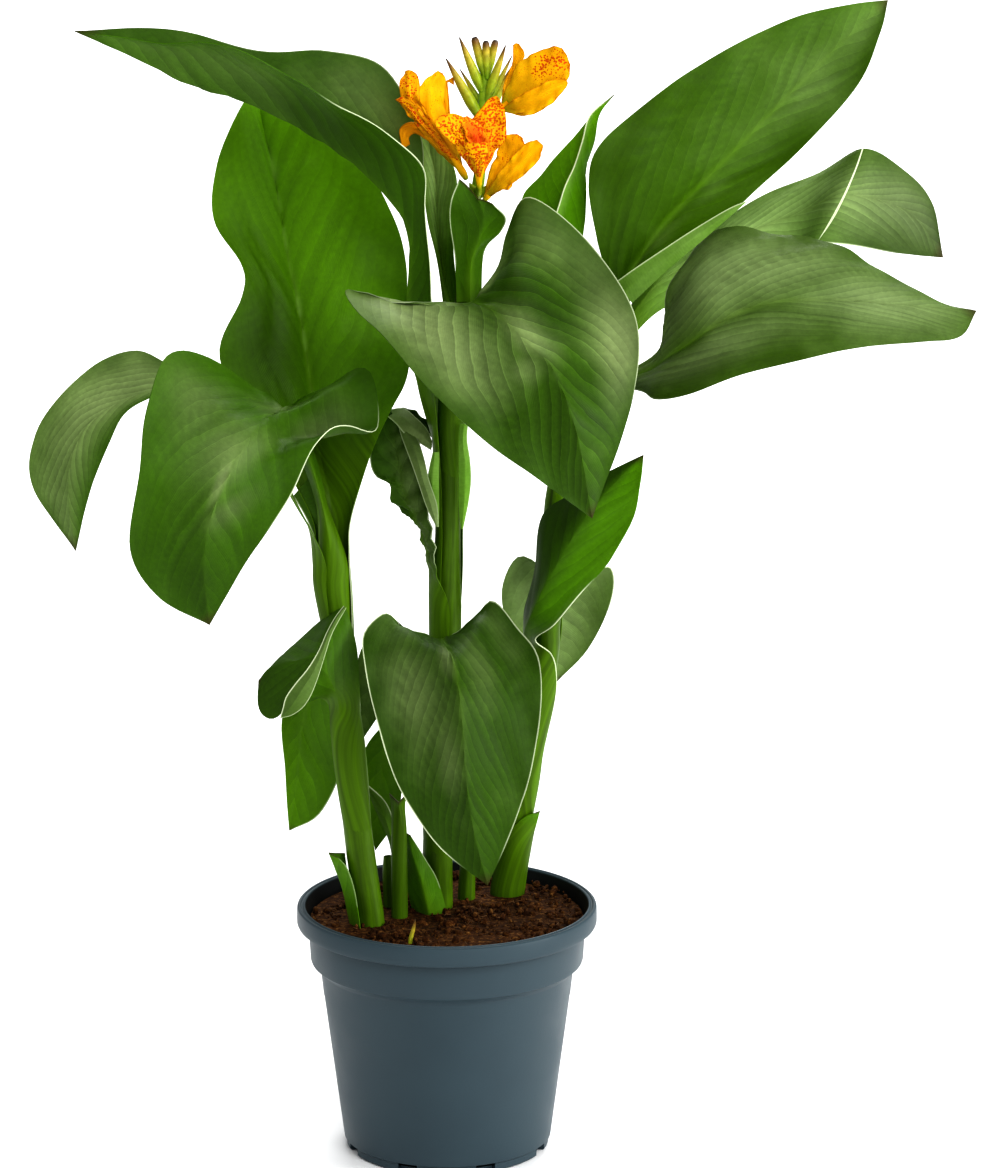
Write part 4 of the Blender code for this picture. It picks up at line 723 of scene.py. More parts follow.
# How a bud swells: (share of its length, share of its radius).
POINTED = ((0.0, 0.55), (0.3, 1.0), (0.6, 0.75), (0.85, 0.35), (1.0, 0.1))
BLUNT = ((0.0, 0.6), (0.4, 1.0), (0.9, 0.85), (1.0, 0.5))

# Look of each leaf. u runs from -1 at the left margin to 1 at the right, v from the stem
# to the tip. Four values are for base left, base right, tip left and tip right.
# tone: 0 deep green to 1 bright green; its bright end is partly painted light shining through the leaf.
# painted_light: painted light and shade, as a factor on the colour. wave: of the margins, in mm.
# bloom: grey patches, part waxy bloom and part painted sheen, as (u, v, reach in u, reach in v, strength).
# shade: patches of painted light and shade that make it lighter or darker, the same way. pale: whitish
# margin as (side, from v, to v, strength). sweep: how far the veins lean to the tip. pleats: how strong
# they are, in relief and in the painted shade across each pleat.
# rib_to: where the midrib ends. dents: (u, v, reach in u, reach in v, depth in mm).
# crumple: height of its creases, in mm.
LEAF_LOOK = {
    "leaf_top_left": {
        "pleats": 0.7, "tone": (0.2, 0.4, 0.1, 0.7), "wave": 1.2, "painted_light": (0.95, 0.62, 0.95, 0.8),
        "bloom": ((0.5, 0.88, 0.5, 0.1, 0.35), (-0.75, 0.68, 0.3, 0.12, 0.35)),
        "shade": ((0.3, 0.72, 0.4, 0.12, 0.6),), "pale": ((1, 0.35, 0.75, 0.8), (-1, 0.5, 0.9, 0.3)),
    },
    "leaf_tall_left": {
        "pleats": 0.35, "rib_to": 1.3,
        "dents": (
            (-0.45, 0.62, 0.12, 0.1, -2.5), (-0.3, 0.4, 0.1, 0.1, -2.0), (0.45, 0.6, 0.1, 0.12, -1.5),
        ),
        "tone": (0.6, 0.8, 1.0, 1.0), "wave": 2.0, "painted_light": (0.66, 0.95, 1.5, 1.5),
        "shade": ((-0.5, 0.56, 0.5, 0.13, 0.45), (0.5, 0.83, 0.3, 0.08, 1.15)),
        "bloom": ((0.0, 0.5, 0.04, 0.6, 0.2),), "pale": ((1, 0.1, 0.35, 0.6),),
    },
    "leaf_far_left": {
        "sweep": 2.4, "pleats": 0.9, "tone": (0.1, 0.2, 0.1, 0.2), "wave": 1.5, "painted_light": (1.25,) * 4,
        "bloom": ((-0.2, 0.6, 0.9, 0.45, 0.95),), "pale": ((-1, 0.3, 0.6, 0.3),),
    },
    "leaf_front_left": {
        "pleats": 0.5, "rib_to": 0.52, "tone": (0.4, 0.3, 1.0, 1.0), "wave": 1.2,
        "painted_light": (0.85, 0.85, 0.34, 0.38),
        "shade": (
            (0.0, 0.67, 0.35, 0.09, 1.2), (-0.05, 0.73, 0.08, 0.07, 1.4), (-0.3, 0.9, 0.8, 0.09, 0.75),
        ),
        "bloom": (
            (-0.05, 0.67, 0.42, 0.09, 0.75), (-0.05, 0.72, 0.08, 0.06, 1.1),
            (-0.5, 0.62, 0.35, 0.06, 0.6), (0.6, 0.62, 0.3, 0.05, 0.8), (0.2, 0.79, 0.35, 0.03, 0.6),
            (0.0, 0.5, 0.6, 0.06, 0.6),
        ),
        "pale": ((1, 0.59, 0.85, 1.0),),
    },
    "leaf_front_middle": {
        "pleats": 1.2, "rib_to": 0.6, "tone": (0.05, 0.1, 0.05, 0.1), "wave": 1.0,
        "painted_light": (1.25, 0.75, 1.0, 0.95),
        "bloom": (
            (-0.6, 0.54, 0.35, 0.12, 1.2), (0.8, 0.72, 0.3, 0.09, 1.2), (0.05, 0.6, 0.14, 0.08, 0.7),
            (-0.2, 0.66, 0.2, 0.03, 0.5), (0.85, 0.44, 0.3, 0.06, 0.7), (0.8, 0.57, 0.25, 0.07, 0.35),
        ),
        "dents": (
            (0.32, 0.58, 0.2, 0.07, -5.0), (0.7, 0.58, 0.15, 0.12, 2.5), (-0.4, 0.66, 0.2, 0.05, -2.5),
        ),
        "shade": ((0.3, 0.6, 0.16, 0.06, 0.75), (-0.4, 0.9, 0.5, 0.1, 0.85)),
        "pale": ((-1, 0.32, 0.5, 0.5), (1, 0.52, 0.82, 0.6)),
    },
    "leaf_top_right": {
        "rib_to": 1.1, "pleats": 0.5, "sweep": 1.3, "tone": (0.8, 0.7, 0.7, 0.5), "wave": 1.0,
        "painted_light": (0.45, 1.3, 0.9, 0.85),
        "bloom": ((0.0, 0.85, 0.9, 0.2, 0.4), (0.3, 0.4, 0.3, 0.25, 0.25)), "pale": ((1, 0.3, 0.6, 0.3),),
    },
    "leaf_back_right": {
        "sweep": 2.0, "pleats": 0.9, "rib_to": 0.9, "tone": (0.8, 0.9, 0.3, 0.4), "wave": 1.0,
        "painted_light": (2.3, 2.3, 0.45, 0.5), "shade": ((-0.2, 0.58, 1.5, 0.13, 1.7),),
        "bloom": ((0.0, 0.55, 1.5, 0.18, 1.0), (0.0, 0.85, 1.0, 0.17, 0.95)),
        "pale": ((1, 0.4, 0.9, 0.6),),
    },
    "leaf_far_right": {
        "pleats": 0.7, "rib_to": 0.95, "tone": (0.4, 0.3, 0.3, 0.3), "wave": 1.2,
        "painted_light": (1.15, 1.05, 1.05, 1.1), "sweep": 2.0,
        "bloom": ((-0.5, 0.6, 0.5, 0.25, 0.9), (0.4, 0.55, 0.35, 0.2, 0.7), (0.0, 0.85, 0.9, 0.14, 1.0)),
        "dents": ((-0.55, 0.5, 0.25, 0.06, -3.5), (0.5, 0.62, 0.25, 0.12, -1.5)),
        "shade": ((-0.6, 0.5, 0.3, 0.045, 0.5), (0.7, 0.52, 0.4, 0.08, 0.75)),
        "pale": ((-1, 0.2, 0.6, 0.3), (1, 0.2, 0.5, 0.3)),
    },
    "leaf_rolled": {
        "tone": (0.8, 1.0, 0.8, 0.9), "wave": 0.5, "painted_light": (1.2, 1.3, 1.2, 1.2),
        "bloom": ((1.0, 0.85, 0.3, 0.25, 0.5),), "pale": ((1, 0.3, 1.0, 0.9),),
    },
    "bract_front": {
        "tone": (0.4, 0.5, 0.3, 0.3), "wave": 0.8, "pale": ((-1, 0.3, 1.0, 0.6), (1, 0.3, 1.0, 0.4)),
    },
    "bract_back": {
        "pleats": 1.0, "sweep": 3.0, "tone": (0.3, 0.5, 0.3, 0.4), "wave": 0.8,
        "painted_light": (1.2, 1.6, 2.2, 2.2), "bloom": ((0.0, 0.7, 1.0, 0.3, 0.7),),
    },
    "leaf_low_middle": {
        "rib_to": 0.75, "pleats": 0.9, "tone": (0.1, 0.1, 0.1, 0.2), "wave": 1.3,
        "painted_light": (0.85, 0.7, 0.75, 0.7), "sweep": 1.7,
        "bloom": (
            (-0.45, 0.66, 0.4, 0.1, 0.55), (0.35, 0.6, 0.2, 0.08, 0.4), (-0.1, 0.56, 0.12, 0.05, 0.8),
            (-0.2, 0.75, 0.2, 0.08, 0.5), (0.8, 0.6, 0.2, 0.06, 0.4),
        ),
        "dents": ((0.5, 0.55, 0.2, 0.12, -2.0), (-0.55, 0.3, 0.2, 0.1, -2.0)),
        "pale": ((-1, 0.35, 0.95, 0.8), (1, 0.35, 0.95, 0.6)),
    },
    "leaf_low_right": {
        "tone": (0.3, 0.8, 0.3, 0.9), "wave": 1.2, "painted_light": (0.45, 0.95, 0.6, 0.95),
        "bloom": ((0.9, 0.45, 0.15, 0.2, 0.5),), "pale": ((1, 0.3, 0.7, 0.9),),
    },
    "leaf_behind_right": {
        "tone": (0.4, 0.3, 0.3, 0.3), "wave": 1.2, "painted_light": (1.3, 1.4, 1.4, 1.4),
        "bloom": ((0.0, 0.6, 1.2, 0.5, 0.8),), "pale": ((1, 0.4, 0.8, 0.9),),
    },
    "leaf_wavy": {
        "tone": (0.3, 0.1, 0.1, 0.1), "wave": 2.0, "crumple": 1.1, "painted_light": (0.8, 0.8, 0.9, 0.9),
        "bloom": ((0.4, 0.6, 0.6, 0.2, 0.5),), "pale": ((1, 0.4, 0.9, 0.4), (-1, 0.6, 0.9, 0.4)),
    },
    "leaf_curled": {
        "tone": (0.95, 0.95, 0.0, 0.1), "wave": 0.6, "painted_light": (0.95, 0.95, 0.8, 0.8),
        "bloom": ((0.3, 0.5, 0.3, 0.12, 0.3),), "pale": ((1, 0.25, 0.5, 0.9),),
    },
    "leaf_behind_left": {
        "tone": (0.7, 0.9, 0.9, 0.9), "wave": 0.8, "painted_light": (1.0, 1.1, 1.2, 1.2),
        "pale": ((1, 0.5, 1.0, 0.5),),
    },
    "leaf_low_behind": {"tone": (0.6, 0.7, 0.7, 0.7), "wave": 0.8, "painted_light": (1.2,) * 4},
    "leaf_mid_behind": {
        "tone": (0.4, 0.4, 0.3, 0.3), "wave": 0.8, "painted_light": (1.2,) * 4,
        "bloom": ((0.0, 0.5, 1.0, 0.5, 0.5),),
    },
    "leaf_shoot": {"tone": (0.7, 0.7, 0.4, 0.2), "wave": 0.3, "pale": ((1, 0.3, 1.0, 0.5),)},
    "sheath_left": {"tone": (0.9, 0.9, 0.7, 0.7), "wave": 0.0, "pale": ((1, 0.3, 1.0, 0.25),)},
    "sheath_middle": {"tone": (0.8, 0.8, 0.7, 0.7), "wave": 0.0, "pale": ((1, 0.3, 1.0, 0.4),)},
    "sheath_right": {"tone": (0.9, 0.9, 0.8, 0.8), "wave": 0.0, "pale": ((1, 0.3, 1.0, 0.4),)},
    "sheath_shoot": {"tone": (0.8, 0.8, 0.9, 0.9), "wave": 0.0, "pale": ((1, 0.8, 1.0, 0.7),)},
}

# Look of each petal: freckles at its base and tip, then red flush at its base and tip,
# all from 0 to 1.
BLOOM_LOOK = {
    "flower_left": (
        (0.2, 0.5, 0.1, 0.1), (0.5, 0.8, 0.1, 0.2), (0.7, 0.9, 0.5, 0.3), (0.0, 0.1, 0.0, 0.0),
        (0.3, 0.4, 0.3, 0.3), (0.2, 0.4, 0.2, 0.1),
    ),
    "flower_front": (
        (1.0, 1.0, 0.35, 0.0), (1.0, 1.1, 0.5, 0.15), (0.5, 0.9, 1.0, 0.7), (1.0, 1.0, 0.3, 0.05),
    ),
    "flower_upper": ((0.0, 1.0, 0.0, 0.1), (0.0, 0.2, 0.05, 0.0), (0.1, 0.5, 0.1, 0.1)),
    "flower_lower": ((0.1, 0.7, 0.3, 0.05), (0.0, 0.3, 0.2, 0.0), (0.1, 0.4, 0.2, 0.0)),
}

# Leaves with no sheath ring whose lower face looks along the lofted normal.
UNDER_OUT = ("bract_front", "sheath_left", "sheath_right", "sheath_middle", "sheath_shoot")


def linear(channel):
    """sRGB channel 0..1 as a linear value."""
    if channel <= 0.04045:
        return channel / 12.92
    return ((channel + 0.055) / 1.055) ** 2.4


def colour(code):
    """sRGB hex as a linear RGBA colour."""
    rgb = [linear(int(code[k:k + 2], 16) / 255.0) for k in (1, 3, 5)]
    return (rgb[0], rgb[1], rgb[2], 1.0)


def feed(tree, node, sockets):
    """Give a node's inputs their plain values or the sockets that feed them."""
    for key, value in sockets.items():
        if isinstance(value, bpy.types.NodeSocket):
            tree.links.new(value, node.inputs[key])
        else:
            node.inputs[key].default_value = value


def add(tree, kind, sockets=None, out=0, **settings):
    """One node with its settings, values and links. Hands on its output socket."""
    node = tree.nodes.new("ShaderNode" + kind)
    for key, value in settings.items():
        setattr(node, key, value)
    feed(tree, node, sockets or {})
    return node.outputs[out]


def new_material(name, **sockets):
    """Material with its Principled shader and plain socket values."""
    mat = bpy.data.materials.new(name)
    mat.use_nodes = True
    tree = mat.node_tree
    shader = tree.nodes["Principled BSDF"]
    feed(tree, shader, {key.replace("_", " "): value for key, value in sockets.items()})
    return mat, tree, shader


def fill_ramp(ramp, stops):
    """Colour stops of a ramp from (place, sRGB hex) pairs."""
    bar = ramp.node.color_ramp.elements
    while len(bar) < len(stops):
        bar.new(0.5)
    for stop, (place, code) in zip(bar, stops):
        stop.position = place
        stop.color = colour(code)


def blade_material(name, dark, bright, bloom, rib, sheath, rough, rib_width):
    """Living canna leaf: waxy skin, pale midrib, fine parallel side veins.

    The veins, streaks and midrib follow the blade through its own attributes, in mm.
    Its colour also holds painted light: light and shade for each leaf, painted shade across each pleat,
    grey patches of painted sheen mixed with real waxy bloom, and a bright tone that partly paints light
    through the leaf.
    """
    mat, tree, shader = new_material(name, IOR=1.45, Specular_IOR_Level=0.18)
    place = add(tree, "TexCoord", out="Object")
    own = {key: add(tree, "Attribute", out="Fac", attribute_name=key) for key in BLADE_MARKS}
    lane = add(tree, "Attribute", out="Vector", attribute_name="lane")
    broad = add(tree, "TexNoise", {"Vector": place, "Scale": 22.0, "Detail": 3.0})
    fine = add(tree, "TexNoise", {"Vector": place, "Scale": 420.0, "Detail": 2.0})
    streak = add(tree, "TexNoise", {"Vector": lane, "Scale": 1.0, "Detail": 3.0})

    wander = add(tree, "Math", {0: broad, 1: 26.0}, **TIMES)
    bent = add(tree, "Math", {0: own["vein"], 1: wander}, **PLUS)
    pleat_in = add(tree, "Math", {0: bent, 1: 1.0 / STRONG_VEIN}, **TIMES)
    pleat = add(tree, "Math", {0: pleat_in}, operation="FRACT")
    line_in = add(tree, "Math", {0: bent, 1: math.tau / FINE_VEIN}, **TIMES)
    line = add(tree, "Math", {0: line_in}, operation="SINE")

    # The bright end of tone is partly painted light shining through the leaf.
    base = add(tree, "Mix", {0: own["tone"], 6: colour(dark), 7: colour(bright)}, 2, **RGBA)
    # The bloom mark lays grey patches on the colour: part waxy bloom, part painted sheen.
    cloud_in = add(tree, "MapRange", {0: broad, **SPAN, 3: -0.2, 4: 0.08})
    wax_and_sheen = add(tree, "Math", {0: own["bloom"], 1: cloud_in}, use_clamp=True, **PLUS)
    wax_and_sheen_on = add(tree, "Math", {0: wax_and_sheen, 1: 0.85}, **TIMES)
    with_wax_and_sheen = add(tree, "Mix", {0: wax_and_sheen_on, 6: base, 7: colour(bloom)}, 2, **RGBA)
    line_up = add(tree, "MapRange", {0: line, 1: -1.0, 2: 1.0, 3: 0.985, 4: 1.015})
    # Painted shade across each pleat: darker from one crease to the next, with a thin light vein line at
    # the crease.
    pleat_painted_shade = add(tree, "MapRange", {0: pleat, 3: 0.16, 4: -0.16})
    thread = add(tree, "MapRange", {0: pleat, 2: 0.09, 3: 0.2, 4: 0.0})
    folded = add(tree, "Math", {0: pleat_painted_shade, 1: thread}, **PLUS)
    strong = add(tree, "Math", {0: folded, 1: own["pleats"]}, **TIMES)
    pleat_vein_and_shade = add(tree, "Math", {0: strong, 1: 1.0}, **PLUS)
    cloud = add(tree, "MapRange", {0: broad, **SPAN, 3: 0.86, 4: 1.12})
    grain = add(tree, "MapRange", {0: fine, **SPAN, 3: 0.93, 4: 1.07})
    shade = add(tree, "Math", {0: cloud, 1: grain}, **TIMES)
    veins = add(tree, "Math", {0: line_up, 1: pleat_vein_and_shade}, **TIMES)
    even = add(tree, "Math", {0: shade, 1: veins}, **TIMES)
    # Painted light and shade of each leaf, as a factor on its colour.
    both = add(tree, "Math", {0: even, 1: own["painted_light"]}, **TIMES)
    mottled_with_painted_light = add(tree, "Mix", {0: 1.0, 6: with_wax_and_sheen, 7: both}, 2, **TINT)

    ribbed = add(tree, "MapRange", {0: own["rib"], 1: rib_width * 0.05, 2: rib_width, 3: 0.72, 4: 0.0})
    fade = add(tree, "MapRange", {0: own["length"], 1: 0.3, 3: 1.0, 4: 0.08})
    rib_on = add(tree, "Math", {0: ribbed, 1: fade}, **TIMES)
    rib_skin = add(tree, "Mix", {0: wax_and_sheen, 6: colour("#648C14"), 7: colour(rib)}, 2, **RGBA)
    with_rib = add(tree, "Mix", {0: rib_on, 6: mottled_with_painted_light, 7: rib_skin}, 2, **RGBA)
    striped = add(tree, "MapRange", {0: streak, **SPAN, 3: 0.7, 4: 1.3})
    stalk_skin = add(tree, "Mix", {0: 1.0, 6: colour(sheath), 7: striped}, 2, **TINT)
    clasped = add(tree, "Mix", {0: own["sheath"], 6: with_rib, 7: stalk_skin}, 2, **RGBA)
    near_edge = add(tree, "MapRange", {0: own["edge"], 1: 0.3, 3: 1.0, 4: 0.0})
    hem = add(tree, "Math", {0: near_edge, 1: own["pale"]}, **TIMES)
    hemmed = add(tree, "Mix", {0: hem, 6: clasped, 7: colour("#D9E3C0")}, 2, **RGBA)
    dried = add(tree, "MapRange", {0: own["tip"], 1: 0.97, 4: 0.85})
    done = add(tree, "Mix", {0: dried, 6: hemmed, 7: colour("#3A2C16")}, 2, **RGBA)

    low = add(tree, "Math", {0: line, 1: 0.06}, **TIMES)
    ridge = add(tree, "Math", {0: pleat, 1: own["pleats"]}, **TIMES)
    relief = add(tree, "Math", {0: low, 1: ridge}, **PLUS)
    calm = add(tree, "MapRange", {0: own["sheath"], 3: 1.0, 4: 0.1})
    height = add(tree, "Math", {0: relief, 1: calm}, **TIMES)
    bump = add(tree, "Bump", {"Strength": 0.5, "Distance": 0.0008, "Height": height})
    gloss = add(tree, "MapRange", {0: broad, **SPAN, 3: rough - 0.06, 4: rough + 0.1})
    feed(tree, shader, {"Base Color": done, "Normal": bump, "Roughness": gloss})
    return mat


def margin_material():
    """Thin dry leaf margin: a papery pale hem that darkens where it isn't white."""
    mat, tree, shader = new_material("canna_leaf_margin", Roughness=0.6)
    pale = add(tree, "Attribute", out="Fac", attribute_name="pale")
    mixed = add(tree, "Mix", {0: pale, 6: colour("#46401E"), 7: colour("#DFE8C8")}, 2, **RGBA)
    feed(tree, shader, {"Base Color": mixed})
    return mat


def stem_material():
    """Smooth fleshy stem: long fibres show as soft light and dark stripes 1 to 4 mm wide."""
    mat, tree, shader = new_material("canna_stem_skin", Roughness=0.42, IOR=1.42, Specular_IOR_Level=0.25)
    girth = add(tree, "Attribute", out="Vector", attribute_name="girth")
    place = add(tree, "TexCoord", out="Object")
    wide = add(tree, "TexNoise", {"Vector": girth, "Scale": 1.1, "Detail": 2.0})
    thin = add(tree, "TexNoise", {"Vector": girth, "Scale": 5.0, "Detail": 2.0})
    spots = add(tree, "TexNoise", {"Vector": place, "Scale": 60.0, "Detail": 3.0})
    band = add(tree, "MapRange", {0: wide, **SPAN})
    base = add(tree, "Mix", {0: band, 6: colour("#3C5600"), 7: colour("#527404")}, 2, **RGBA)
    thread = add(tree, "MapRange", {0: thin, **SPAN, 3: 0.86, 4: 1.12})
    cloud = add(tree, "MapRange", {0: spots, **SPAN, 3: 0.88, 4: 1.1})
    shade = add(tree, "Math", {0: thread, 1: cloud}, **TIMES)
    done = add(tree, "Mix", {0: 1.0, 6: base, 7: shade}, 2, **TINT)
    bump = add(tree, "Bump", {"Strength": 0.3, "Distance": 0.0002, "Height": thin})
    feed(tree, shader, {"Base Color": done, "Normal": bump})
    return mat


def bud_material():
    """Fleshy flower bud: yellow green, browned towards its tip."""
    mat, tree, shader = new_material("canna_bud_skin", Roughness=0.42, IOR=1.42)
    place = add(tree, "TexCoord", out="Object")
    ripe = add(tree, "Attribute", out="Fac", attribute_name="ripe")
    spots = add(tree, "TexNoise", {"Vector": place, "Scale": 300.0, "Detail": 2.0})
    ramp = add(tree, "ValToRGB", {"Fac": ripe})
    fill_ramp(ramp, (
        (0.0, "#6F9A1E"), (0.35, "#9CAF2B"), (0.7, "#B7A83A"), (0.88, "#7A5A22"), (1.0, "#2E2114")))
    cloud = add(tree, "MapRange", {0: spots, **SPAN, 3: 0.8, 4: 1.15})
    done = add(tree, "Mix", {0: 1.0, 6: ramp, 7: cloud}, 2, **TINT)
    feed(tree, shader, {"Base Color": done})
    return mat


def petal_material():
    """Canna petal: soft satin yellow orange, freckled red, freckles 1 to 2 mm across."""
    mat, tree, shader = new_material("canna_petal", Roughness=0.55, IOR=1.4, Specular_IOR_Level=0.15)
    place = add(tree, "TexCoord", out="Object")
    length, freckle, ground, grain, from_edge = [
        add(tree, "Attribute", out="Fac", attribute_name=key)
        for key in ("length", "freckle", "ground", "grain", "edge")]
    ramp = add(tree, "ValToRGB", {"Fac": length})
    fill_ramp(ramp, ((0.0, "#84981C"), (0.26, "#D6A80A"), (0.62, "#EFB404"), (1.0, "#E8A400")))
    cells = add(tree, "TexVoronoi", {"Vector": place, "Scale": 640.0, "Randomness": 0.9}, "Distance")
    ragged = add(tree, "TexNoise", {"Vector": place, "Scale": 900.0, "Detail": 2.0})
    wide = add(tree, "TexNoise", {"Vector": place, "Scale": 110.0, "Detail": 2.0})
    rag = add(tree, "Math", {0: ragged, 1: 0.45}, **TIMES)
    away = add(tree, "Math", {0: cells, 1: rag}, **PLUS)
    reach = add(tree, "Math", {0: freckle, 1: wide}, **TIMES)
    grown = add(tree, "Math", {0: reach, 1: 1.8}, **TIMES)
    apart = add(tree, "Math", {0: grown, 1: 0.74}, operation="MINIMUM")
    inside = add(tree, "Math", {0: apart, 1: away}, operation="SUBTRACT")
    spot = add(tree, "MapRange", {0: inside, 1: -0.05, 2: 0.08, 4: 0.9})
    throat = add(tree, "ValToRGB", {"Fac": ground})
    fill_ramp(throat, ((0.0, "#E6A206"), (0.45, "#DF8A0C"), (0.75, "#CC5A0C"), (1.0, "#9C2608")))
    steep = add(tree, "Math", {0: ground, 1: 2.0}, use_clamp=True, **TIMES)
    flushed = add(tree, "Mix", {0: steep, 6: ramp, 7: throat}, 2, **RGBA)
    rimmed = add(tree, "MapRange", {0: from_edge, 1: 0.2, 2: 0.9, 3: 0.55, 4: 0.0})
    outlined = add(tree, "Mix", {0: rimmed, 6: flushed, 7: colour("#B86A08")}, 2, **RGBA)
    freckled = add(tree, "Mix", {0: spot, 6: outlined, 7: colour("#BE3C08")}, 2, **RGBA)
    cloud = add(tree, "MapRange", {0: wide, **SPAN, 3: 0.84, 4: 1.12})
    done = add(tree, "Mix", {0: 1.0, 6: freckled, 7: cloud}, 2, **TINT)
    fold_in = add(tree, "Math", {0: grain, 1: math.tau / 0.9}, **TIMES)
    fold = add(tree, "Math", {0: fold_in}, operation="SINE")
    bump = add(tree, "Bump", {"Strength": 0.4, "Distance": 0.0002, "Height": fold})
    feed(tree, shader, {"Base Color": done, "Normal": bump})
    return mat


def pot_material():
    """Thin blue-grey polypropylene, moulded: satin outside, darkened inside by painted shade."""
    mat, tree, shader = new_material("moulded_polypropylene_blue_grey", IOR=1.49, Specular_IOR_Level=0.32)
    place = add(tree, "TexCoord", out="Object")
    peel = add(tree, "TexNoise", {"Vector": place, "Scale": 700.0, "Detail": 2.0})
    scuff = add(tree, "TexNoise", {"Vector": place, "Scale": 26.0, "Detail": 5.0})
    # The inside mark paints shade on the inner wall near the rim.
    inside = add(tree, "Attribute", out="Fac", attribute_name="inside")
    mixed = add(tree, "Mix", {0: scuff, 6: colour("#34434A"), 7: colour("#3A4A51")}, 2, **RGBA)
    painted_inner_shade = add(tree, "Mix", {0: inside, 6: mixed, 7: colour("#15191A")}, 2, **RGBA)
    gloss = add(tree, "MapRange", {0: scuff, **SPAN, 3: 0.36, 4: 0.5})
    bump = add(tree, "Bump", {"Strength": 0.12, "Distance": 0.0003, "Height": peel})
    feed(tree, shader, {"Base Color": painted_inner_shade, "Normal": bump, "Roughness": gloss})
    return mat


def peat_material(name, foot):
    """Moist peat: dark brown crumb with lighter fibres, crumbs 1 to 6 mm.

    Its pattern is counted from the piece's foot, in mm above the floor.
    """
    mat, tree, shader = new_material(name, Roughness=0.92, Specular_IOR_Level=0.15)
    own = add(tree, "TexCoord", out="Object")
    place = add(tree, "Mapping", {"Vector": own, "Location": (0.0, 0.0, -foot * MM)})
    coarse = add(tree, "TexNoise", {"Vector": place, "Scale": 330.0, "Detail": 5.0, "Roughness": 0.7})
    broad = add(tree, "TexNoise", {"Vector": place, "Scale": 32.0, "Detail": 3.0})
    ramp = add(tree, "ValToRGB", {"Fac": coarse})
    fill_ramp(ramp, ((0.32, "#1E1006"), (0.5, "#43270F"), (0.6, "#60401E"), (0.72, "#96703E")))
    cloud = add(tree, "MapRange", {0: broad, **SPAN, 3: 0.65, 4: 1.2})
    done = add(tree, "Mix", {0: 1.0, 6: ramp, 7: cloud}, 2, **TINT)
    bump = add(tree, "Bump", {"Strength": 0.8, "Distance": 0.0012, "Height": coarse})
    feed(tree, shader, {"Base Color": done, "Normal": bump})
    return mat


def fibre_material():
    """Dry root fibre: pale straw brown, matt."""
    mat, tree, shader = new_material("dry_root_fibre", Roughness=0.85)
    place = add(tree, "TexCoord", out="Object")
    spots = add(tree, "TexNoise", {"Vector": place, "Scale": 90.0, "Detail": 2.0})
    mixed = add(tree, "Mix", {0: spots, 6: colour("#4A2E16"), 7: colour("#8C6840")}, 2, **RGBA)
    feed(tree, shader, {"Base Color": mixed})
    return mat


def select_only(*objs):
    """Select these objects alone, the last one active."""
    bpy.ops.object.select_all(action="DESELECT")
    for obj in objs:
        obj.select_set(True)
        bpy.context.view_layer.objects.active = obj


def named(name):
    """The object just added, with its name given to its mesh too."""
    piece = bpy.context.object
    piece.name = name
    piece.data.name = name
    return piece


def join(name, pieces):
    """Join pieces into one object."""
    select_only(*pieces)
    bpy.ops.object.join()
    return named(name)


def finish_piece(piece, node, mats):
    """Give a piece its materials, its body and the solid that it stands for."""
    piece.data.materials.clear()
    for mat in mats:
        piece.data.materials.append(mat)
    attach(piece, "root")
    if node:
        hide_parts(node)


def smooth(piece, degrees):
    """Shade a piece smooth across edges that bend less than this."""
    select_only(piece)
    bpy.ops.object.shade_smooth_by_angle(angle=math.radians(degrees))


def paint(mesh, name, values):
    """Store one number, or one vector, for each vertex."""
    values = np.asarray(values, np.float32)
    vector = values.ndim > 1
    mark = mesh.attributes.new(name, "FLOAT_VECTOR" if vector else "FLOAT", "POINT")
    mark.data.foreach_set("vector" if vector else "value", values.ravel())


def repaint(mesh, name, value):
    """Give a mark that is there already the same number at each vertex."""
    mesh.attributes[name].data.foreach_set("value", np.full(len(mesh.vertices), value, np.float32))


def laid_grid(name, points, marks):
    """Flat grid carried to its places on a surface, with its marks."""
    along = len(points) - 1
    across = len(points[0]) - 1
    bpy.ops.object.select_all(action="DESELECT")
    bpy.ops.mesh.primitive_grid_add(x_subdivisions=across, y_subdivisions=along, size=2.0)
    sheet = named(name)
    flat = np.empty(len(sheet.data.vertices) * 3)
    sheet.data.vertices.foreach_get("co", flat)
    flat = flat.reshape(-1, 3)
    i = np.rint((flat[:, 0] + 1) / 2 * across).astype(int)
    j = np.rint((flat[:, 1] + 1) / 2 * along).astype(int)
    sheet.data.vertices.foreach_set("co", (points[j, i] * MM).ravel())
    for key, values in marks.items():
        paint(sheet.data, key, values[j, i])
    sheet.data.update()
    return sheet


def weld(piece, close_ends):
    """Merge the points that meet, and close the open ends of a tube."""
    select_only(piece)
    bpy.ops.object.mode_set(mode="EDIT")
    bpy.ops.mesh.select_all(action="SELECT")
    bpy.ops.mesh.remove_doubles(threshold=WELD * MM)
    if close_ends:
        bpy.ops.mesh.select_all(action="DESELECT")
        bpy.ops.mesh.select_non_manifold()
        bpy.ops.mesh.fill(use_beauty=False)
        bpy.ops.mesh.select_all(action="SELECT")
        bpy.ops.mesh.normals_make_consistent(inside=False)
    bpy.ops.object.mode_set(mode="OBJECT")


def thicken(sheet, thick):
    """Close the tip, then give the sheet its thickness with a rim of its own."""
    weld(sheet, False)
    solid = sheet.modifiers.new("thickness", "SOLIDIFY")
    solid.thickness = thick * MM
    solid.offset = 0.0
    solid.use_even_offset = False
    solid.material_offset = 1
    solid.material_offset_rim = 2
    for _ in range(3):
        sheet.data.materials.append(None)
    bpy.ops.object.modifier_apply(modifier=solid.name)
    smooth(sheet, 50.0)
    return sheet


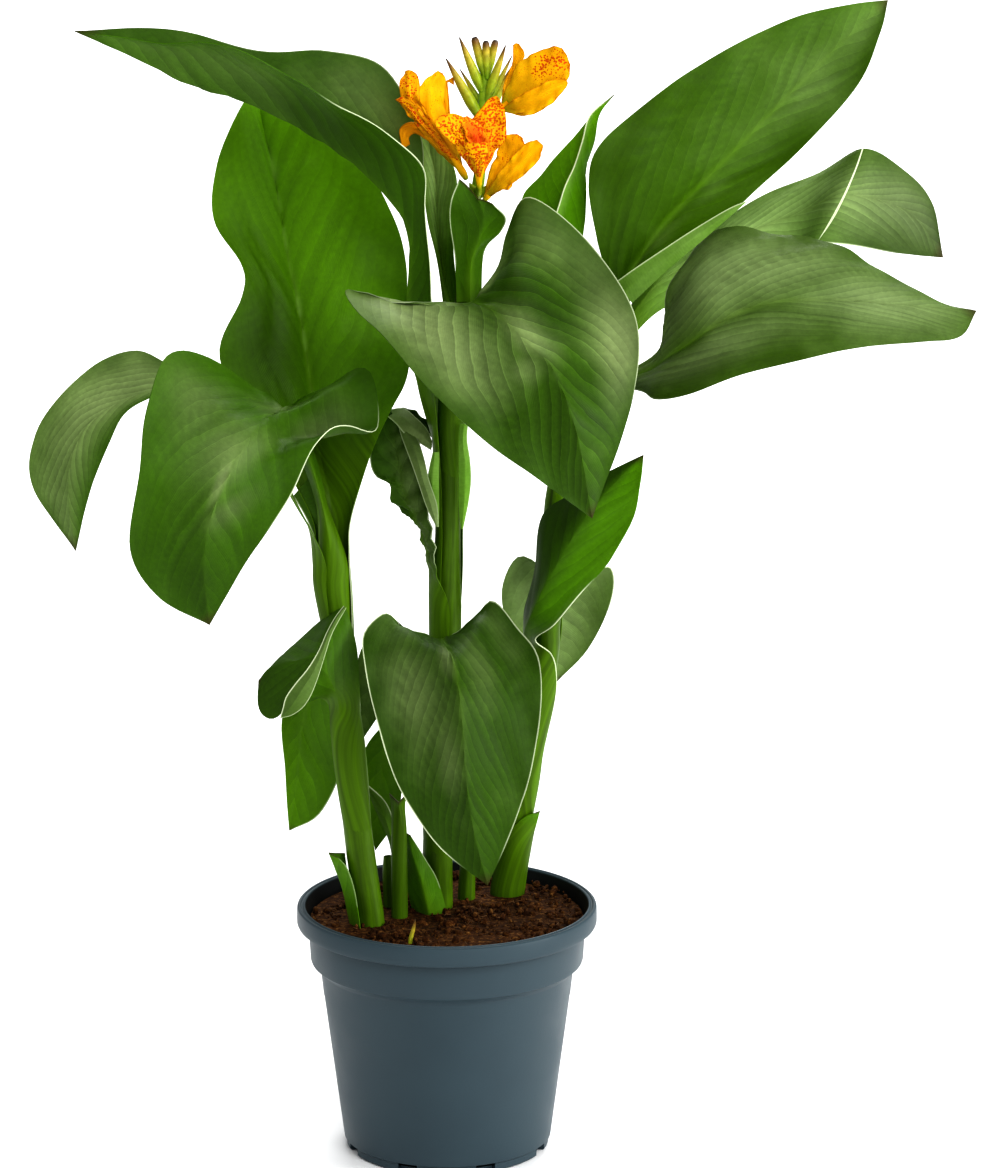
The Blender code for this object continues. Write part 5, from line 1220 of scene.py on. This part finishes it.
def cubic(rows, t):
    """Catmull-Rom through rows (stations x points x 3) at station values t."""
    count = len(rows)
    i = np.clip(np.floor(t).astype(int), 0, count - 2)
    f = (t - i).reshape(-1, 1, 1)
    low = (i == 0).reshape(-1, 1, 1)
    high = (i == count - 2).reshape(-1, 1, 1)
    p1 = rows[i]
    p2 = rows[i + 1]
    p0 = np.where(low, 2 * rows[0] - rows[1], rows[np.maximum(i - 1, 0)])
    p3 = np.where(high, 2 * rows[-1] - rows[-2], rows[np.minimum(i + 2, count - 1)])
    a = 2 * p1
    b = p2 - p0
    c = 2 * p0 - 5 * p1 + 4 * p2 - p3
    d = 3 * p1 - p0 - 3 * p2 + p3
    return 0.5 * (a + b * f + c * f ** 2 + d * f ** 3)


def stem_at(stem, z):
    """Centre and radius of a stem at height z."""
    line = np.array(STEMS[stem], float)
    return [float(np.interp(z, line[:, 2], line[:, k])) for k in (0, 1, 3)]


def station_rows(stem, rings, rows, bow, u):
    """Points across the blade at each ring and station."""
    out = []
    for z, wrap, face, lift in rings:
        x, y, radius = stem_at(stem, z)
        angle = math.radians(face) + u * math.radians(wrap)
        reach = radius + lift
        ring = [x + reach * np.cos(angle), y + reach * np.sin(angle), np.full_like(angle, z)]
        out.append(np.stack(ring, 1))
    for k, (rib, left, right) in enumerate(rows):
        before = rows[max(k - 1, 0)][0]
        after = rows[min(k + 1, len(rows) - 1)][0]
        normal = np.cross(right - left, after - before)
        size = np.linalg.norm(normal)
        if size > 1e-9:
            normal = normal / size
        a = np.abs(u)[:, None]
        edge = np.where((u < 0)[:, None], left, right)
        width = np.linalg.norm(edge - rib, axis=1)[:, None]
        depth = np.where(u < 0, bow[0], bow[1])[:, None] * np.clip(width / 60.0, 0.0, 1.2)
        out.append(rib + (edge - rib) * a + normal * depth * 4 * a * (1 - a))
    return np.array(out)


def even_places(step, count):
    """Station values at even distances, from the lengths between the stations."""
    place = np.concatenate([[0], np.cumsum(step)]) / step.sum()
    return np.interp(np.linspace(0, 1, count + 1), place, np.arange(len(step) + 1))


def blade_surface(stem, rings, rows, bow, across, along):
    """Fine grid of points over a blade, the station value of each row, and u."""
    u = np.linspace(-1, 1, across + 1)
    u = np.sign(u) * np.abs(u) ** 1.2
    key = station_rows(stem, rings, rows, bow, u)
    tracks = [np.linalg.norm(np.diff(key[:, j], axis=0), axis=1) for j in (0, across // 2, across)]
    t = even_places((tracks[0] + 2 * tracks[1] + tracks[2]) / 4 + 1e-6, along)
    return cubic(key, t), t, u


def unit_normals(points):
    """Normal of the surface at each grid point."""
    n = np.cross(np.gradient(points, axis=1), np.gradient(points, axis=0))
    return n / np.maximum(np.linalg.norm(n, axis=2, keepdims=True), 1e-9)


def run_lengths(points, axis):
    """Distance run along an axis of the grid, in mm."""
    step = np.linalg.norm(np.diff(points, axis=axis), axis=2)
    zero = np.zeros_like(np.take(step, [0], axis=axis))
    return np.concatenate([zero, np.cumsum(step, axis=axis)], axis=axis)


def spread(corners, u, v):
    """Value over the blade from its four corners: base left and right, tip left and right."""
    left = corners[0] * (1 - v) + corners[2] * v
    right = corners[1] * (1 - v) + corners[3] * v
    blend = np.clip(0.5 + u[None, :] * 1.6, 0.0, 1.0)
    return left * (1 - blend) + right * blend


def patch(u, v, at_u, at_v, reach_u, reach_v):
    """Soft round patch on a blade, 1 in its middle."""
    return np.exp(-((u[None, :] - at_u) / reach_u) ** 2 - ((v - at_v) / reach_v) ** 2)


def wave(length, turns=0.0):
    """Sine of a length that is counted in waves, turned on by so many radians."""
    return np.sin(length * math.tau + turns)


def make_leaf(name, turn):
    """One leaf blade with its midrib, waved margins and painted marks."""
    leaf = LEAVES[name]
    look = LEAF_LOOK[name]
    across, along = LARGE_LEAF_CELLS if len(leaf["rows"]) > SMALL_LEAF_ROWS else SMALL_LEAF_CELLS
    rings = leaf["rings"]
    if rings:
        z, wrap, face, _ = rings[0]
        rings = ((max(z - SHEATH_REACH, SHEATH_LOWEST), wrap * 0.96, face, SHEATH_FOOT_LIFT),) + rings
    points, t, u = blade_surface(leaf["stem"], rings, leaf["rows"], leaf["bow"], across, along)
    under_out = name in UNDER_OUT or (rings and rings[0][1] > 0)
    upper = -1.0 if under_out else 1.0
    middle = across // 2
    side = run_lengths(points, 1)
    rib = side[:, middle:middle + 1]
    from_rib = np.abs(side - rib)
    half = np.where(u < 0, rib, side[:, -1:] - rib)
    flat = np.zeros_like(side)
    run = run_lengths(points, 0)[:, middle:middle + 1] + flat
    s = np.abs(u)[None, :] + flat
    reach = look.get("sweep", 1.0) * half * (1.5 * s ** 0.75 + 0.9 * s ** 4)
    sheath = np.clip((len(rings) + 0.6 - t) / 0.9, 0.0, 1.0)[:, None] + flat
    v = run / run[-1, middle]
    # Grey patches of bloom: part waxy bloom, part painted sheen.
    bloom = flat
    for at_u, at_v, reach_u, reach_v, strength in look.get("bloom", ()):
        bloom = np.maximum(bloom, strength * patch(u, v, at_u, at_v, reach_u, reach_v))
    pale = flat
    for edge, low, high, strength in look.get("pale", ()):
        span = np.clip((v - low) / 0.04, 0, 1) * np.clip((high - v) / 0.04, 0, 1)
        pale = np.maximum(pale, np.where(u * edge > 0, strength, 0.0)[None, :] * span)

    normal = unit_normals(points)
    blade = 1.0 - sheath
    grow = np.clip(half / 40.0, 0.0, 1.0)
    ruffle = look["wave"] * wave(run / RUFFLE, turn * 1.7 + np.sign(u) * 1.1) * s ** 2.5 * grow
    uneven = 0.6 + 0.4 * wave((run - reach) / UNEVEN, turn * 2.3)
    pleat = 0.75 * (1.0 - 2.0 * np.abs(wave((run - reach + 5.0 * uneven) / PLEAT))) * uneven
    pleat *= np.clip(1.0 - s ** 6, 0.0, 1.0) * grow
    swell = 1.1 * wave((run - 0.6 * reach) / SWELL, turn) * grow * s
    tangle = wave(run / TANGLE, 2.5 * np.sin(side / 6.0)) + wave((run + side) / 8.3) / 2
    swell += look.get("crumple", 0.0) * tangle
    for at_u, at_v, reach_u, reach_v, deep in look.get("dents", ()):
        swell += deep * patch(u, v, at_u, at_v, reach_u, reach_v)
    crease = -1.5 * np.exp(-(from_rib / 3.6) ** 2) * np.clip(half / 25.0, 0.0, 1.0) * (1.0 - v)
    shift = upper * (crease + pleat) * blade + (ruffle + swell) * blade * np.sin(math.pi * v) ** 0.5
    points = points + normal * shift[:, :, None]
    # Painted light and shade over the blade: from its four corners, darker in the pleat valleys, and
    # lighter or darker in the shade patches.
    painted_light = spread(look.get("painted_light", (1.0,) * 4), u, v) * (1.0 + 0.2 * pleat)
    for at_u, at_v, reach_u, reach_v, level in look.get("shade", ()):
        painted_light *= 1.0 + (level - 1.0) * patch(u, v, at_u, at_v, reach_u, reach_v)
    marks = {
        "vein": run - reach, "rib": from_rib + rib_fade(v), "tone": spread(look["tone"], u, v),
        "bloom": bloom, "edge": np.maximum(half - from_rib, 0.0), "pale": pale, "sheath": sheath,
        "tip": v, "length": v / look.get("rib_to", 0.7), "painted_light": painted_light,
        "pleats": (flat + look.get("pleats", 0.6)) * np.clip(2.2 - 2.2 * s, 0.0, 1.0),
        "lane": np.stack([side / 3.2, run / 110.0, flat + turn], 2),
    }
    sheets = [thicken(laid_grid(name + "_blade", points, marks), LEAF_THICK)]
    sheets += [make_fold(name, k, *fold) for k, fold in enumerate(FOLDS.get(name, ()))]
    whole = join(name + "_blade", sheets)
    faces = ("under", "upper") if under_out else ("upper", "under")
    mats = [MATS["leaf_" + face] for face in faces] + [MATS["margin"]]
    finish_piece(whole, name, mats)


def make_fold(name, k, look, rows):
    """Part of a leaf's margin that has turned over and lies in front of its blade."""
    # The fold's bloom is part painted sheen, and the last value of its look is painted light and shade.
    tone, bloom, pale_left, pale_right, painted_light = look
    points, _, u = blade_surface(None, (), rows, FOLD_BOW, *FOLD_CELLS)
    side = run_lengths(points, 1)
    flat = np.zeros_like(side)
    middle = FOLD_CELLS[0] // 2
    run = run_lengths(points, 0)[:, middle:middle + 1] + flat
    marks = {
        "vein": run, "rib": flat + 9.0, "tone": flat + tone, "bloom": flat + bloom,
        "edge": np.minimum(side, side[:, -1:] - side), "sheath": flat, "tip": flat,
        "pale": np.where(u < 0, pale_left, pale_right)[None, :] + flat,
        "length": run / run.max(), "painted_light": flat + painted_light, "pleats": flat,
        "lane": np.stack([side / 3.2, run / 110.0, flat + k], 2),
    }
    return thicken(laid_grid("%s_fold_%d" % (name, k), points, marks), LEAF_THICK)


def rib_fade(v):
    """How much narrower the midrib is at v than at its base, in mm."""
    return 2.4 * v ** 1.5


def ring_tube(name, line, sides, rings, waver=0.0):
    """Round stem drawn up from a circle, ring by ring, closed at both ends."""
    line = np.array(line, float)
    t = even_places(np.linalg.norm(np.diff(line[:, :3], axis=0), axis=1), rings)
    track = cubic(line[:, None, :], t)[:, 0]
    track[:, 3] = np.maximum(np.interp(t, np.arange(len(line)), line[:, 3]), 0.15)
    turns = np.linspace(0, math.tau, sides + 1)
    heading = np.gradient(track[:, :3], axis=0)
    heading /= np.linalg.norm(heading, axis=1, keepdims=True)
    flat = np.cross(heading, (0.0, 1.0, 0.0))
    flat = np.where(np.linalg.norm(flat, axis=1, keepdims=True) < 0.2, (1.0, 0.0, 0.0), flat)
    flat /= np.linalg.norm(flat, axis=1, keepdims=True)
    other = np.cross(heading, flat)
    radius = track[:, 3:4] * (1.0 + waver * np.cos(turns * 3 + 1.0)[None, :])
    around = np.cos(turns)[None, :, None] * flat[:, None] + np.sin(turns)[None, :, None] * other[:, None]
    points = track[:, None, :3] + around * radius[:, :, None]
    run = np.concatenate([[0], np.cumsum(np.linalg.norm(np.diff(track[:, :3], axis=0), axis=1))])
    share = np.linspace(0, 1, rings + 1)[:, None] + np.zeros((1, sides + 1))
    tube = laid_grid(name, points, {"ripe": share, "length": share})
    spot = np.empty(len(tube.data.vertices) * 3)
    tube.data.vertices.foreach_get("co", spot)
    spot = spot.reshape(-1, 3) / MM
    near = np.argmin(np.linalg.norm(spot[:, None, :] - track[None, :, :3], axis=2), axis=1)
    out = spot - track[near, :3]
    out /= np.maximum(np.linalg.norm(out, axis=1, keepdims=True), 1e-9)
    paint(tube.data, "girth", np.stack([out[:, 0] * 1.6, out[:, 1] * 1.6, run[near] / 90.0], 1))
    weld(tube, True)
    smooth(tube, 60.0)
    return tube


def rooted(line):
    """Stem line carried down into the soil."""
    x, y, z, radius = line[0]
    return ((x, y, z - STEM_IN_SOIL, radius),) + line


def bud_line(base, tip, radius, shape):
    """Bud from its foot to its tip, swelling and closing as its shape says."""
    base = np.array(base, float)
    tip = np.array(tip, float)
    return tuple(tuple(base + (tip - base) * s) + (radius * k,) for s, k in shape)


def make_petal(name, k, rows, look):
    """One petal with its frilled margin, its soft folds and its freckles."""
    low, high, ground_low, ground_high = look
    points, _, u = blade_surface(None, (), rows, PETAL_BOW, *PETAL_CELLS)
    side = run_lengths(points, 1)
    v = np.linspace(0, 1, len(points))[:, None] + np.zeros_like(side)
    s = np.abs(u)[None, :] + np.zeros_like(side)
    wide = np.clip(side[:, -1:] / 12.0, 0.0, 1.0)
    across = u[None, :]
    frill = np.sin(v * 24.0 + k * 2.1 + across * 2.0) + 0.6 * np.sin(v * 41.0 + k + across * 5.0)
    frill *= 1.05 * s ** 2 * np.clip(v * 3.0, 0.0, 1.0) * wide
    fold = 0.6 * np.sin(across * 6.5 + k + v * 2.0) + 0.14 * np.sin(across * 26.0)
    fold *= np.sin(math.pi * v) * wide
    points = points + unit_normals(points) * (frill + fold)[:, :, None]
    hem = np.clip(s ** 3 + v ** 4, 0.0, 1.0)
    run = run_lengths(points, 0)
    marks = {
        "length": v, "freckle": (low + (high - low) * v) * (1.0 - 0.25 * hem),
        "ground": (ground_low + (ground_high - ground_low) * v) * (1.0 - 0.5 * hem),
        "grain": across * side[:, -1:] / 2.0,
        "edge": np.minimum(np.minimum(side, side[:, -1:] - side), run[-1:] - run),
    }
    return thicken(laid_grid("%s_petal_%d" % (name, k), points, marks), PETAL_THICK)


def make_bloom(name, looks):
    """One open bloom: its tube and each petal, with its own freckles and ground."""
    tube = ring_tube(name + "_tube", FLOWER_TUBES[name], *BUD_CELLS)
    for mark, value in (("freckle", 0.0), ("grain", 0.0), ("ground", 0.0), ("edge", 9.0)):
        paint(tube.data, mark, np.full(len(tube.data.vertices), value))
    petals = [make_petal(name, k, *petal) for k, petal in enumerate(zip(PETALS[name], looks))]
    bloom = join(name + "_bloom", [tube] + petals)
    bloom.data.polygons.foreach_set("material_index", np.zeros(len(bloom.data.polygons), np.int32))
    finish_piece(bloom, name, [MATS["petal"]])


def make_stalk():
    """Flower stalk with its buds and the green feet of the blooms."""
    pieces = [ring_tube("spike", SPIKE, *SPIKE_CELLS)]
    repaint(pieces[0].data, "ripe", 0.15)
    calyx_end = len(BUDS + CALYXES)
    for k, (base, tip, radius) in enumerate(BUDS + CALYXES + STUBS):
        shape = BLUNT if k >= calyx_end else POINTED
        bud = ring_tube("bud_%d" % k, bud_line(base, tip, radius, shape), *BUD_CELLS, BUD_WAVER)
        if len(BUDS) <= k < calyx_end:
            repaint(bud.data, "ripe", 0.3)
        pieces.append(bud)
    finish_piece(join("flower_stalk_buds", pieces), "flower_stalk", [MATS["bud"]])


def wall_r(z):
    """Outer radius of the plain tapered wall at height z."""
    slope = (WALL_TOP_R - POT_FOOT_R - FOOT_STEP) * (z - FOOT_TOP) / (COLLAR_LOW - 2 * FOOT_TOP)
    return POT_FOOT_R + FOOT_STEP + slope


def inner_r(z):
    """Radius between the pot's inner and outer faces near its rim, in mm."""
    heights = (120.0, COLLAR_LOW + 1.0, RIM_LOW, POT_HEIGHT)
    return np.interp(z, heights, (79.5, COLLAR_R - 0.9, COLLAR_R + 0.6, RIM_R))


def draw_up(name, profile, sides, bottom, top_open):
    """Round piece drawn up from a disc, ring by ring, through (radius, height) in mm."""
    bpy.ops.object.select_all(action="DESELECT")
    bpy.ops.mesh.primitive_circle_add(
        vertices=sides, radius=profile[0][0] * MM, fill_type=bottom, location=(0, 0, profile[0][1] * MM))
    piece = named(name)
    bpy.ops.object.mode_set(mode="EDIT")
    bpy.ops.mesh.select_all(action="SELECT")
    if top_open:
        bpy.ops.mesh.select_all(action="DESELECT")
        bpy.ops.mesh.select_non_manifold()
    for (r0, z0), (r1, z1) in zip(profile, profile[1:]):
        bpy.ops.mesh.extrude_region_move(TRANSFORM_OT_translate={"value": (0, 0, (z1 - z0) * MM)})
        bpy.ops.transform.resize(value=(r1 / r0, r1 / r0, 1.0), center_override=(0, 0, z1 * MM))
    if top_open:
        bpy.ops.mesh.fill()
    bpy.ops.mesh.select_all(action="SELECT")
    bpy.ops.mesh.normals_make_consistent(inside=False)
    bpy.ops.object.mode_set(mode="OBJECT")
    select_only(piece)
    bpy.ops.object.transform_apply(location=True, rotation=False, scale=False)
    return piece


def make_pot():
    """Pot drawn up from its foot, outside and then inside, with slots in its foot."""
    low, high = COLLAR_LOW, POT_HEIGHT
    outer = [
        (POT_FOOT_R - 1.0, 0.0), (POT_FOOT_R, 0.8), (POT_FOOT_R + 0.1, 5.0),
        (POT_FOOT_R + FOOT_STEP, 6.2), (wall_r(8.0), 8.0), (wall_r(60.0), 60.0),
        (wall_r(low - 24.0), low - 24.0), (wall_r(low - 23.6) + 0.25, low - 23.2),
        (80.2, low - 7.0), (80.9, low - 5.6), (84.3, low - 2.6), (86.0, low - 1.2),
        (COLLAR_R, low + 0.4), (COLLAR_R + 1.2, RIM_LOW - 0.8), (COLLAR_R + 1.8, RIM_LOW),
        (RIM_R - 2.0, RIM_LOW), (RIM_R - 0.7, RIM_LOW + 0.7), (RIM_R - 0.1, RIM_LOW + 2.0),
        (RIM_R, RIM_LOW + 4.0), (RIM_R - 0.1, high - 2.4), (RIM_R - 0.5, high - 1.0),
        (RIM_R - 1.3, high - 0.3), (RIM_R - 2.2, high - 0.3), (RIM_R - 2.8, high - 0.9),
        (RIM_R - 3.6, high - 0.9), (RIM_R - 4.2, high - 0.2), (RIM_R - 4.8, high),
    ]
    inner = [
        (RIM_R - 5.3, high - 0.4), (RIM_R - 5.6, high - 1.4), (RIM_R - 6.2, high - 5.0),
        (COLLAR_R - POT_WALL + 1.6, RIM_LOW), (COLLAR_R - POT_WALL, low + 1.0), (78.7, low - 5.0),
        (wall_r(60.0) - POT_WALL, 60.0), (POT_FOOT_R - POT_WALL, POT_FLOOR),
    ]
    pot = draw_up("pot_shell", outer + inner, POT_SIDES, "TRIFAN", True)
    cutters = []
    for k in range(SLOT_COUNT):
        angle = math.radians(360.0 / SLOT_COUNT * (k + 0.5))
        reach = (POT_FOOT_R + 0.5) * MM
        place = (math.cos(angle) * reach, math.sin(angle) * reach, 2.0 * MM)
        bpy.ops.mesh.primitive_cube_add(size=1.0, location=place, rotation=(0, 0, angle))
        cutters.append(bpy.context.object)
        cutters[-1].scale = [size * MM for size in SLOT]
    tool = join("foot_slots", cutters)
    cut = pot.modifiers.new("slots", "BOOLEAN")
    cut.operation = "DIFFERENCE"
    cut.solver = "EXACT"
    cut.object = tool
    select_only(pot)
    bpy.ops.object.modifier_apply(modifier=cut.name)
    bpy.data.objects.remove(tool)
    smooth(pot, 28.0)
    # The inside mark paints shade on the inner wall near the rim.
    spots = [(math.hypot(v.co.x, v.co.y) / MM, v.co.z / MM) for v in pot.data.vertices]
    inside = [float(z > 120.0 and r < min(inner_r(z), RIM_R - 5.4)) for r, z in spots]
    paint(pot.data, "inside", inside)
    finish_piece(pot, "pot", [MATS["pot"]])


def make_soil():
    """Peat that fills the pot: a plug with a flat top, under its crumbs."""
    foot = wall_r(SOIL_LOW) - POT_WALL - 0.4
    top = COLLAR_R - POT_WALL + 1.6
    rings = [(foot, SOIL_LOW), (COLLAR_R - POT_WALL - 0.8, COLLAR_LOW + 3.0),
             (COLLAR_R - POT_WALL + 0.9, RIM_LOW)]
    share = [k / SOIL_RINGS for k in range(SOIL_RINGS + 1)]
    rings += [(top * (1.0 - s) + SOIL_MIDDLE_R * s, SOIL_TOP) for s in share]
    soil = draw_up("peat_soil", rings, POT_SIDES, "NGON", False)
    smooth(soil, 70.0)
    finish_piece(soil, "soil", [MATS["plug"]])


def crumb_height(x, y):
    """Height at which a crumb or fibre lies, in lumps and hollows about the soil's top."""
    r = math.hypot(x, y)
    rise = 2.0 * math.sin(x / 17.0 + 0.6) * math.cos(y / 15.0) + 0.018 * x * (r / 80.0) ** 2
    for height, size, depth in ((2.2, 12.0, 1.3), (1.5, 4.5, 4.1), (0.8, 1.9, 8.2)):
        rise += height * noise.noise(Vector((x / size, y / size, depth)))
    return SOIL_TOP + rise


def strewn(reach):
    """Random place on the soil within this radius, the two draws in this order."""
    radius = reach * math.sqrt(RNG.random())
    angle = math.tau * RNG.random()
    return radius * math.cos(angle), radius * math.sin(angle)


def make_crumbs():
    """Loose crumbs of peat lying on the soil, each a squashed low ball."""
    bpy.ops.object.select_all(action="DESELECT")
    bpy.ops.mesh.primitive_ico_sphere_add(subdivisions=2, radius=1.0)
    seed = bpy.context.object
    shape = np.array([v.co for v in seed.data.vertices])
    faces = [tuple(p.vertices) for p in seed.data.polygons]
    verts = []
    polys = []
    for _ in range(CRUMBS):
        x, y = strewn(CRUMB_REACH)
        size = 0.45 + 1.9 * RNG.random() ** 4
        stretch = 0.6 + 0.8 * RNG.random(3)
        spin = math.tau * RNG.random()
        lump = shape * (1.0 + 0.28 * RNG.random((len(shape), 1))) * size * stretch
        c, s = math.cos(spin), math.sin(spin)
        turned = np.stack([lump[:, 0] * c - lump[:, 1] * s, lump[:, 0] * s + lump[:, 1] * c, lump[:, 2]], 1)
        base = len(verts)
        centre = np.array((x, y, crumb_height(x, y) + size * 0.15))
        verts.extend((turned + centre) * MM)
        polys.extend(tuple(base + i for i in face) for face in faces)
    bpy.data.objects.remove(seed)
    mesh = bpy.data.meshes.new("peat_crumbs")
    mesh.from_pydata([tuple(v) for v in verts], [], polys)
    crumbs = bpy.data.objects.new("peat_crumbs", mesh)
    bpy.context.scene.collection.objects.link(crumbs)
    smooth(crumbs, 80.0)
    finish_piece(crumbs, None, [MATS["peat"]])


def make_fibres():
    """Short root fibres and bark slivers strewn on the soil."""
    pieces = []
    for k in range(FIBRES):
        x, y = strewn(FIBRE_REACH)
        heading = math.tau * RNG.random()
        c, s = math.cos(heading), math.sin(heading)
        length = 2.0 + 5.0 * RNG.random()
        line = []
        for j in range(5):
            f = (j / 4.0 - 0.5) * length
            bend = 0.7 * math.sin(j * 1.3 + k)
            px = x + f * c - bend * s
            py = y + f * s + bend * c
            lift = 0.6 + 0.5 * RNG.random()
            line.append((px, py, crumb_height(px, py) + lift, 0.12 + 0.14 * RNG.random()))
        pieces.append(ring_tube("fibre_%d" % k, line, *FIBRE_CELLS))
    finish_piece(join("peat_fibres", pieces), None, [MATS["fibre"]])


def link_new(name, data):
    """New object for a lamp or a camera, in the scene."""
    holder = bpy.data.objects.new(name, data)
    bpy.context.scene.collection.objects.link(holder)
    return holder


def softbox(name, place, aim_height, size, power):
    """Square soft light turned to a height on the plant's axis."""
    lamp = bpy.data.lights.new(name, "AREA")
    lamp.shape = "SQUARE"
    lamp.size = size
    lamp.energy = power
    holder = link_new(name, lamp)
    holder.location = place
    away = Vector((0.0, 0.0, aim_height)) - Vector(place)
    holder.rotation_euler = away.to_track_quat("-Z", "Y").to_euler()


def make_studio():
    """White sweep, white surround and soft lamps."""
    bpy.ops.object.select_all(action="DESELECT")
    bpy.ops.mesh.primitive_plane_add(size=FLOOR_SIZE, location=(0, 0, FLOOR_Z))
    floor = bpy.context.object
    floor.name = "studio_floor"
    mat, tree, shader = new_material(
        "white_paper_floor", Roughness=0.9, Base_Color=colour("#FAFAFA"), Specular_IOR_Level=0.0)
    floor.data.materials.append(mat)
    world = bpy.data.worlds.new("white_surround")
    world.use_nodes = True
    tree = world.node_tree
    ray = add(tree, "LightPath", out="Is Camera Ray")
    level = add(tree, "MapRange", {0: ray, 3: 0.42, 4: 1.3})
    feed(tree, tree.nodes["Background"], {"Color": (1.0, 1.0, 1.0, 1.0), "Strength": level})
    bpy.context.scene.world = world
    for lamp in LAMPS:
        softbox(*lamp)


def make_camera():
    """Camera at the photograph's height and distance."""
    bpy.context.scene.view_settings.view_transform = "Standard"
    bpy.context.scene.view_settings.look = "High Contrast"
    lens = bpy.data.cameras.new("camera")
    lens.lens = CAMERA_LENS
    lens.sensor_width = 36.0
    lens.clip_end = 100.0
    holder = link_new("camera", lens)
    holder.location = CAMERA_PLACE
    holder.rotation_euler = (math.pi / 2 - CAMERA_PITCH, 0.0, 0.0)
    bpy.context.scene.camera = holder


MATS = {
    "leaf_upper": blade_material(
        "canna_leaf_upper", "#2A3A08", "#507A00", "#7E9060", "#8E9E64", "#4C6C04", 0.45, 4.4),
    "leaf_under": blade_material(
        "canna_leaf_under", "#34500A", "#578800", "#869664", "#94AC60", "#4C6C04", 0.5, 5.0),
    "margin": margin_material(),
    "stem": stem_material(),
    "bud": bud_material(),
    "petal": petal_material(),
    "pot": pot_material(),
    "peat": peat_material("moist_peat", 0.0),
    "plug": peat_material("moist_peat_plug", SOIL_LOW),
    "fibre": fibre_material(),
}

make_camera()
make_studio()
make_pot()
make_soil()
make_crumbs()
make_fibres()
for stem, line in STEMS.items():
    length = line[-1][2] - line[0][2]
    tube = ring_tube("stem_%s_skin" % stem, rooted(line), STEM_SIDES, max(12, int(length / STEM_RING)))
    finish_piece(tube, "stem_" + stem, [MATS["stem"]])
finish_piece(ring_tube("sprout_skin", SPROUT, *SPROUT_CELLS), "sprout", [MATS["bud"]])
for turn, leaf in enumerate(LEAVES):
    make_leaf(leaf, turn)
for bloom, looks in BLOOM_LOOK.items():
    make_bloom(bloom, looks)
make_stalk()
